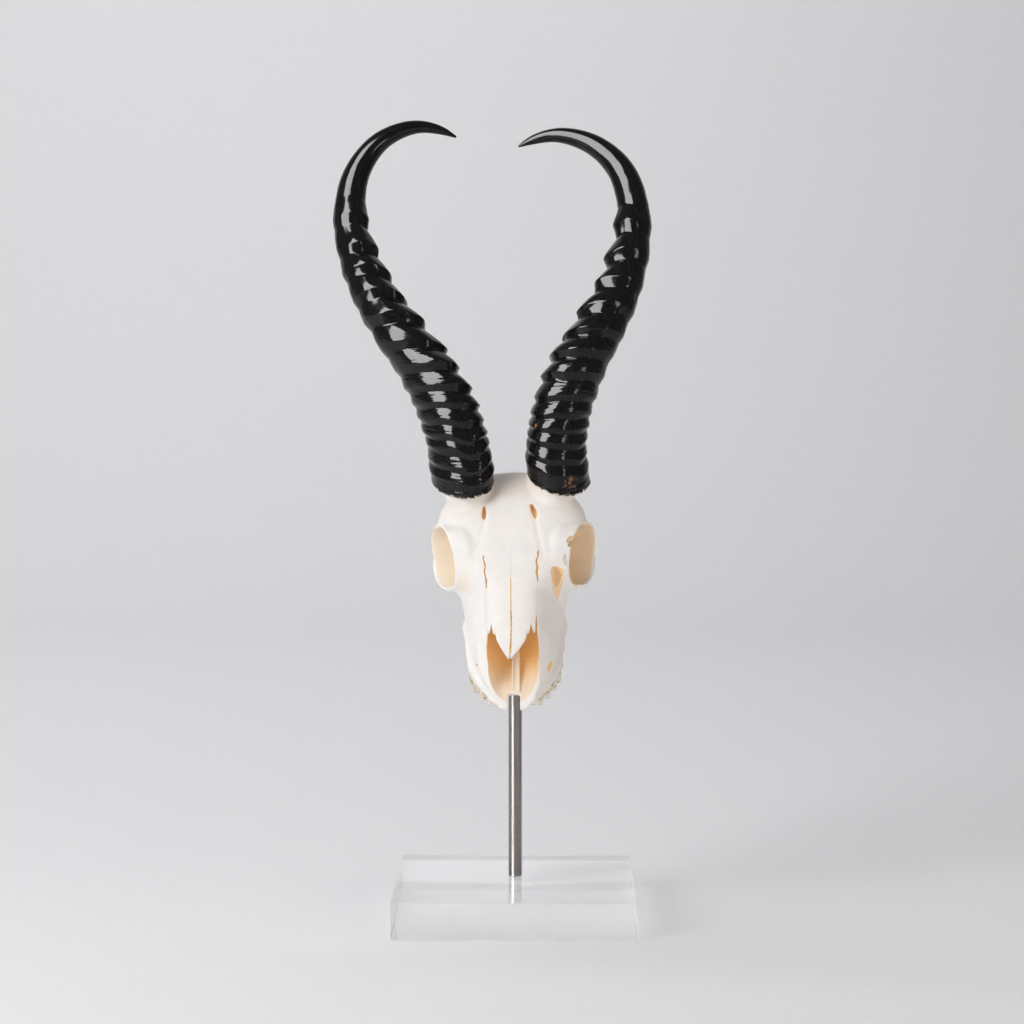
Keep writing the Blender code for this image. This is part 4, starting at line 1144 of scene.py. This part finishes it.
class Finish:
    """A material built up node by node around its Principled shader."""

    def __init__(self, name, **fixed):
        self.material = bpy.data.materials.new(name)
        self.material.use_nodes = True
        self.tree = self.material.node_tree
        self.shader = self.tree.nodes["Principled BSDF"]
        for key, value in fixed.items():
            self.shader.inputs[key.replace("_", " ")].default_value = value

    def node(self, kind, settings=None, inputs=None, output=0):
        """A node of that type: its settings first, then its inputs' values or links."""
        made = self.tree.nodes.new(kind)
        for key, value in (settings or {}).items():
            if key == "stops":
                ramp = made.color_ramp
                for place, _colour in value[2:]:
                    ramp.elements.new(place)
                for element, (place, colour) in zip(ramp.elements, sorted(value)):
                    element.position = place
                    element.color = (*colour, 1.0)
            else:
                setattr(made, key, value)
        for key, value in (inputs or {}).items():
            self.link(value, made.inputs[key])
        return Wire(self, made.outputs[output])

    def link(self, value, socket):
        if isinstance(value, Wire):
            self.tree.links.new(value.socket, socket)
        else:
            socket.default_value = value

    def feed(self, **inputs):
        """Links values to the shader's own sockets."""
        for key, value in inputs.items():
            self.link(value, self.shader.inputs[key.replace("_", " ")])

    def place(self):
        return self.node("ShaderNodeTexCoord", output=3)

    def attribute(self, name, vector=False):
        return self.node("ShaderNodeAttribute", {"attribute_name": name}, output=1 if vector else 2)

    def noise(self, vector, scale, detail=3.0, roughness=0.5):
        """Noise, whose scale may be three numbers, one for each axis."""
        if isinstance(scale, tuple):
            vector, scale = self.node("ShaderNodeMapping", None, {"Vector": vector, "Scale": scale}), 1.0
        inputs = {"Vector": vector, "Scale": scale, "Detail": detail, "Roughness": roughness}
        return self.node("ShaderNodeTexNoise", None, inputs)

    def ramp(self, value, stops):
        return self.node("ShaderNodeValToRGB", {"stops": stops}, {"Fac": value})

    def mix(self, share, first, second):
        return self.node("ShaderNodeMix", {"data_type": "RGBA"}, {0: share, 6: first, 7: second}, output=2)

    def clip(self, value):
        return self.node("ShaderNodeClamp", None, {"Value": value})

    def bump(self, height, strength, distance, below=None):
        inputs = {"Height": height, "Strength": strength, "Distance": distance}
        if below is not None:
            inputs["Normal"] = below
        return self.node("ShaderNodeBump", None, inputs)


WHITE = (0.88, 0.865, 0.84)
SHADED = (0.86, 0.79, 0.72)
# Painted shade between the horns, also used for the darker band round their rims.
SHADE_BROWN = (0.72, 0.59, 0.50)
# Warm hues inside the hollows: partly the bone's own colour, partly painted light.
CREAM = (0.90, 0.82, 0.70)
PEACH = (0.86, 0.70, 0.49)
ORANGE = (0.80, 0.53, 0.25)
AMBER = (0.55, 0.30, 0.10)


def bone_finish():
    """Bleached bone: white outside, with painted shade in its hollows and on the poll between the horns,
    darker round the horn rims, and warm inside, partly painted light, with a painted glow.
    """
    finish = Finish(
        "bleached_bone", Subsurface_Weight=0.18, Subsurface_Radius=(1.0, 0.62, 0.38),
        Subsurface_Scale=0.0028, Specular_IOR_Level=0.06, Emission_Strength=0.16,
    )
    place = finish.place()
    blotch = finish.noise(place, 70.0, 4.0, 0.55)
    # Painted shade: the more closed in the surface, the darker and warmer its colour.
    hollow = finish.attribute("hollow") + (blotch - 0.5) * 0.12
    outside = finish.ramp(hollow, [(0.18, WHITE), (0.62, SHADED)])
    # Painted shade on the poll between the horns, and the darker band round each horn's rim.
    dusk = finish.attribute("dusk") * (0.18 + blotch * 0.42)
    outside = finish.mix(dusk, outside, (*SHADE_BROWN, 1.0))
    # Warm tint inside orbits, nasal cavity and openings: partly the bone's own colour, partly painted light.
    warm = finish.attribute("warm")
    hues = [(0.0, WHITE), (1.0, AMBER), (0.22, CREAM), (0.44, PEACH), (0.74, ORANGE)]
    inside = finish.ramp(warm * (0.86 + blotch * 0.28), hues)
    colour = finish.mix(warm.maths("GREATER_THAN", warm, 0.05), outside, inside)
    mottle = finish.noise(place, 120.0, 3.0, 0.5)
    tint = finish.ramp(mottle, [(0.3, (1.0, 0.995, 0.985)), (0.7, (0.96, 0.95, 0.945))])
    colour = finish.node(
        "ShaderNodeMix", {"data_type": "RGBA", "blend_type": "MULTIPLY"}, {0: 1.0, 6: colour, 7: tint}, 2
    )
    fine = finish.noise(place, 900.0, 3.0, 0.6)
    pores = finish.node("ShaderNodeTexVoronoi", None, {"Vector": place, "Scale": 420.0})
    normal = finish.bump(fine, 0.22, 0.0005)
    normal = finish.bump(pores, 0.10, 0.0005, normal)
    # Painted glow in the hollows, as if light shone through thin bone.
    glow = finish.mix(finish.attribute("glow"), (0.0, 0.0, 0.0, 1.0), (1.0, 0.64, 0.26, 1.0))
    finish.feed(
        Base_Color=colour, Roughness=0.52 + (fine - 0.5) * 0.2, Normal=normal, Emission_Color=glow
    )
    return finish.material


def tooth_finish():
    """Enamel with stained folds."""
    finish = Finish("tooth_enamel", Specular_IOR_Level=0.5)
    place = finish.place()
    stain = finish.noise(place, 260.0, 4.0, 0.6)
    colour = finish.ramp(
        stain,
        [
            (0.36, (0.84, 0.81, 0.74)), (0.68, (0.34, 0.25, 0.14)),
            (0.48, (0.78, 0.72, 0.60)), (0.57, (0.60, 0.50, 0.35)),
        ],
    )
    normal = finish.bump(finish.noise(place, (900.0, 900.0, 250.0)), 0.3, 0.0005)
    finish.feed(Base_Color=colour, Roughness=0.32 + stain * 0.2, Normal=normal)
    return finish.material


# Brown patches of the right horn, as if it were straight: centre, reach and colour
RIGHT_HORN_SPOTS = (
    ((-8.0, 17.5, 7.0), 5.2, (0.25, 0.12, 0.06)), ((14.0, 13.0, 36.0), 1.7, (0.42, 0.17, 0.05)),
)


def horn_finish(spots):
    """Polished black horn with fine fibres along it, worn pale and brown at its rim."""
    finish = Finish("polished_horn", Coat_Roughness=0.05, Specular_IOR_Level=0.25)
    straight = finish.attribute("straight", vector=True)
    fibres = finish.noise(straight, (900.0, 900.0, 26.0), 4.0, 0.6)
    wave = finish.noise(straight, (160.0, 160.0, 60.0), 3.0, 0.5)
    flakes = finish.noise(straight, (420.0, 420.0, 420.0), 4.0, 0.6)
    colour = finish.ramp(fibres, [(0.35, (0.004, 0.0038, 0.0042)), (0.85, (0.016, 0.014, 0.013))])
    along = finish.node("ShaderNodeSeparateXYZ", None, {"Vector": straight}, 2)
    frayed = finish.noise(straight, (150.0, 150.0, 150.0), 5.0, 0.7)
    rim = finish.clip((frayed - 0.34 - along * (1 / 0.0058)) * 14.0) * finish.clip((flakes - 0.42) * 10.0)
    colour = finish.mix(rim, colour, (0.62, 0.52, 0.40, 1.0))
    worn = rim
    for centre, reach, hue in spots:
        ends = {0: straight, 1: tuple(c * MM for c in centre)}
        away = finish.node("ShaderNodeVectorMath", {"operation": "DISTANCE"}, ends, 1)
        away = away + (frayed - 0.5) * 0.012
        spot = finish.clip((1.0 - away * (1 / (reach * MM))) * 2.2) * finish.clip((flakes - 0.46) * 12.0)
        colour = finish.mix(spot, colour, (*hue, 1.0))
        worn = worn + spot
    normal = finish.bump(fibres, 0.04, 0.0004)
    normal = finish.bump(wave, 0.05, 0.0006, normal)
    normal = finish.bump(worn * flakes, 0.8, 0.0008, normal)
    roughness = 0.07 + fibres * 0.11 + finish.clip(worn) * 0.5
    finish.feed(Base_Color=colour, Roughness=roughness, Coat_Weight=wave * 0.06, Normal=normal)
    return finish.material


def steel_finish():
    """Bright drawn steel, brushed along its length."""
    finish = Finish("drawn_steel", Metallic=1.0, Anisotropic=0.92, Anisotropic_Rotation=0.25)
    lines = finish.noise(finish.place(), (3200.0, 3200.0, 12.0), 3.0, 0.6)
    colour = finish.ramp(lines, [(0.3, (0.27, 0.25, 0.235)), (0.75, (0.37, 0.345, 0.33))])
    normal = finish.bump(lines, 0.006, 0.0002)
    finish.feed(Base_Color=colour, Roughness=0.25 + lines * 0.03, Normal=normal)
    return finish.material


def acrylic_finish():
    """Clear cast acrylic with polished faces."""
    finish = Finish("clear_acrylic", Transmission_Weight=1.0, IOR=1.49)
    haze = finish.noise(finish.place(), 60.0, 2.0, 0.5)
    slant = finish.node("ShaderNodeLayerWeight", None, {"Blend": 0.5}, 1)
    # Painted shade: the block's colour greys where a face is seen at a slant, which sets how bright it looks.
    finish.feed(
        Base_Color=finish.mix(slant * slant, (0.985, 0.995, 0.99, 1.0), (0.93, 0.94, 0.945, 1.0)),
        Roughness=0.004 + haze * 0.012,
        Alpha=0.31 + slant * slant * 0.78,
    )
    return finish.material


def floor_finish():
    finish = Finish("pale_floor", Specular_IOR_Level=0.2)
    grain = finish.noise(finish.place(), 90.0, 3.0, 0.5)
    colour = finish.ramp(grain, [(0.3, (0.875, 0.878, 0.900)), (0.7, (0.885, 0.888, 0.910))])
    finish.feed(Base_Color=colour, Roughness=0.7 + grain * 0.1)
    return finish.material


def spread_directions(count):
    """Even directions over a half-sphere, denser towards its pole."""
    made = []
    for i in range(count):
        up = math.sqrt((i + 0.5) / count)
        turn = i * math.pi * (3 - math.sqrt(5))
        flat = math.sqrt(1 - up * up)
        made.append((flat * math.cos(turn), flat * math.sin(turn), up))
    return made


def mark_hollows(things, reach=45.0, coarse=14000, rays=28):
    """Writes to each bone how closed in its surface is, from 0 on open bone to 1 deep in a hollow; the bone's
    colour turns it into painted shade.
    """
    tree = bone_tree(things)
    half_sphere = spread_directions(rays)
    for mesh in [thing.data for thing in things]:
        points = read_array(mesh.vertices, "co", 3, float)
        normals = read_array(mesh.vertex_normals, "vector", 3)
        count = len(points)
        chosen = np.arange(0, count, max(1, count // coarse))
        nearest = KDTree(len(chosen))
        values = []
        for place, i in enumerate(chosen):
            normal = Vector(normals[i])
            turn = normal.to_track_quat("Z", "Y")
            start = Vector(points[i]) + normal * 0.0003
            closed = 0.0
            for direction in half_sphere:
                distance = tree.ray_cast(start, turn @ Vector(direction), reach * MM)[3]
                if distance is not None:
                    closed += 1 - 0.5 * distance / (reach * MM)
            values.append(closed / rays)
            nearest.insert(points[i], place)
        nearest.balance()
        values = np.array(values)
        out = np.empty(count, np.float32)
        for i in range(count):
            found = nearest.find_n(points[i], 4)
            weights = [1 / (f[2] + 2e-4) for f in found]
            out[i] = sum(w * values[f[1]] for w, f in zip(weights, found)) / sum(weights)
        write_attribute(mesh, "hollow", out)


def dress(thing, finish_material, slot, *nodes, sharp=35.0):
    """Gives a finished piece its shading, its material and its place in the model."""
    thing.data.shade_smooth()
    thing.data.set_sharp_from_angle(angle=math.radians(sharp))
    thing.data.materials.clear()
    thing.data.materials.append(finish_material)
    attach(thing, "root")
    if nodes:
        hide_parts(*nodes)


def studio():
    """Seamless pale floor and backdrop, soft boxes, and the camera."""
    profile = [(-3.0, -FLOOR_GAP), (1.6, -FLOOR_GAP)]
    radius = 1.2
    profile += [
        (1.6 + radius * math.sin(a), radius - radius * math.cos(a) - FLOOR_GAP)
        for a in [math.pi / 2 * k / 24 for k in range(1, 25)]
    ]
    profile += [(2.8, 5.0)]
    points = [(x, y, z) for x in (-4.0, 4.0) for y, z in profile]
    count = len(profile)
    faces = [(k, k + 1, count + k + 1, count + k) for k in range(count - 1)]
    mesh = bpy.data.meshes.new("floor")
    mesh.from_pydata(points, [], faces)
    mesh.shade_smooth()
    floor = add_object("studio_floor", mesh)
    floor.data.materials.append(floor_finish())

    warm, plain = (1.0, 0.90, 0.82), (1.0, 0.985, 0.97)
    for name, place, aim, size, power, colour, gloss in (
        ("key_box", (-1.3, -1.25, 0.95), (0.0, 0.0, 0.32), (0.95, 0.9), 22.5, plain, False),
        ("gleam_box", (-1.1, -1.06, 1.38), (0.0, 0.0, 0.32), (1.2, 2.4), 160.0, plain, True),
        ("side_strip", (1.35, -1.25, 0.75), (0.0, 0.0, 0.35), (0.22, 0.55), 3.0, plain, True),
        ("fill_sheet", (1.7, -1.3, 0.65), (0.0, 0.0, 0.25), (1.6, 1.2), 16.0, warm, False),
        ("top_sheet", (-0.9, 0.0, 2.3), (-0.35, 0.0, 0.0), (2.2, 1.8), 16.0, plain, False),
        ("back_wash", (-0.8, 0.9, 2.3), (-0.5, 2.8, 1.0), (2.4, 0.8), 21.0, plain, False),
    ):
        light = bpy.data.lights.new(name, "AREA")
        light.shape = "RECTANGLE"
        light.size, light.size_y = size
        light.energy, light.color = power, colour
        lamp = add_object(name, light)
        lamp.location = place
        lamp.visible_glossy, lamp.visible_diffuse, lamp.visible_transmission = gloss, not gloss, False
        lamp.rotation_euler = (Vector(aim) - Vector(place)).to_track_quat("-Z", "Y").to_euler()

    world = bpy.data.worlds.new("studio_air")
    world.use_nodes = True
    air = world.node_tree.nodes["Background"].inputs
    air["Color"].default_value, air["Strength"].default_value = (0.86, 0.88, 0.95, 1.0), 0.16
    bpy.context.scene.world = world

    camera = bpy.data.cameras.new("camera")
    camera.lens = CAMERA_LENS
    camera.sensor_width = 36.0
    camera.clip_end = 50.0
    viewer = add_object("camera", camera)
    viewer.location, viewer.rotation_euler = CAMERA_PLACE, CAMERA_TURN
    bpy.context.scene.camera = viewer
    bpy.context.scene.view_settings.view_transform = "Standard"


def main():
    studio()
    bone, enamel = bone_finish(), tooth_finish()
    pieces = skull_bones()
    for name, node in (
        ("cranium_bone", "cranium"), ("maxilla_bones", "maxillae"),
        ("nasal_bone_left", "nasal_left"), ("nasal_bone_right", "nasal_right"),
    ):
        dress(pieces[name], bone, "white_bone", node)
    for name in ("cheek_teeth_left", "cheek_teeth_right"):
        dress(pieces[name], enamel, "white_bone")
    for name, spots in (("horn_left", ()), ("horn_right", RIGHT_HORN_SPOTS)):
        dress(horn_piece(name), horn_finish(spots), "black_horn", name, sharp=60.0)
    dress(stand_rod(), steel_finish(), "brushed_steel", "stand_rod")
    dress(stand_block(), acrylic_finish(), "clear_acrylic", "stand_base")


main()
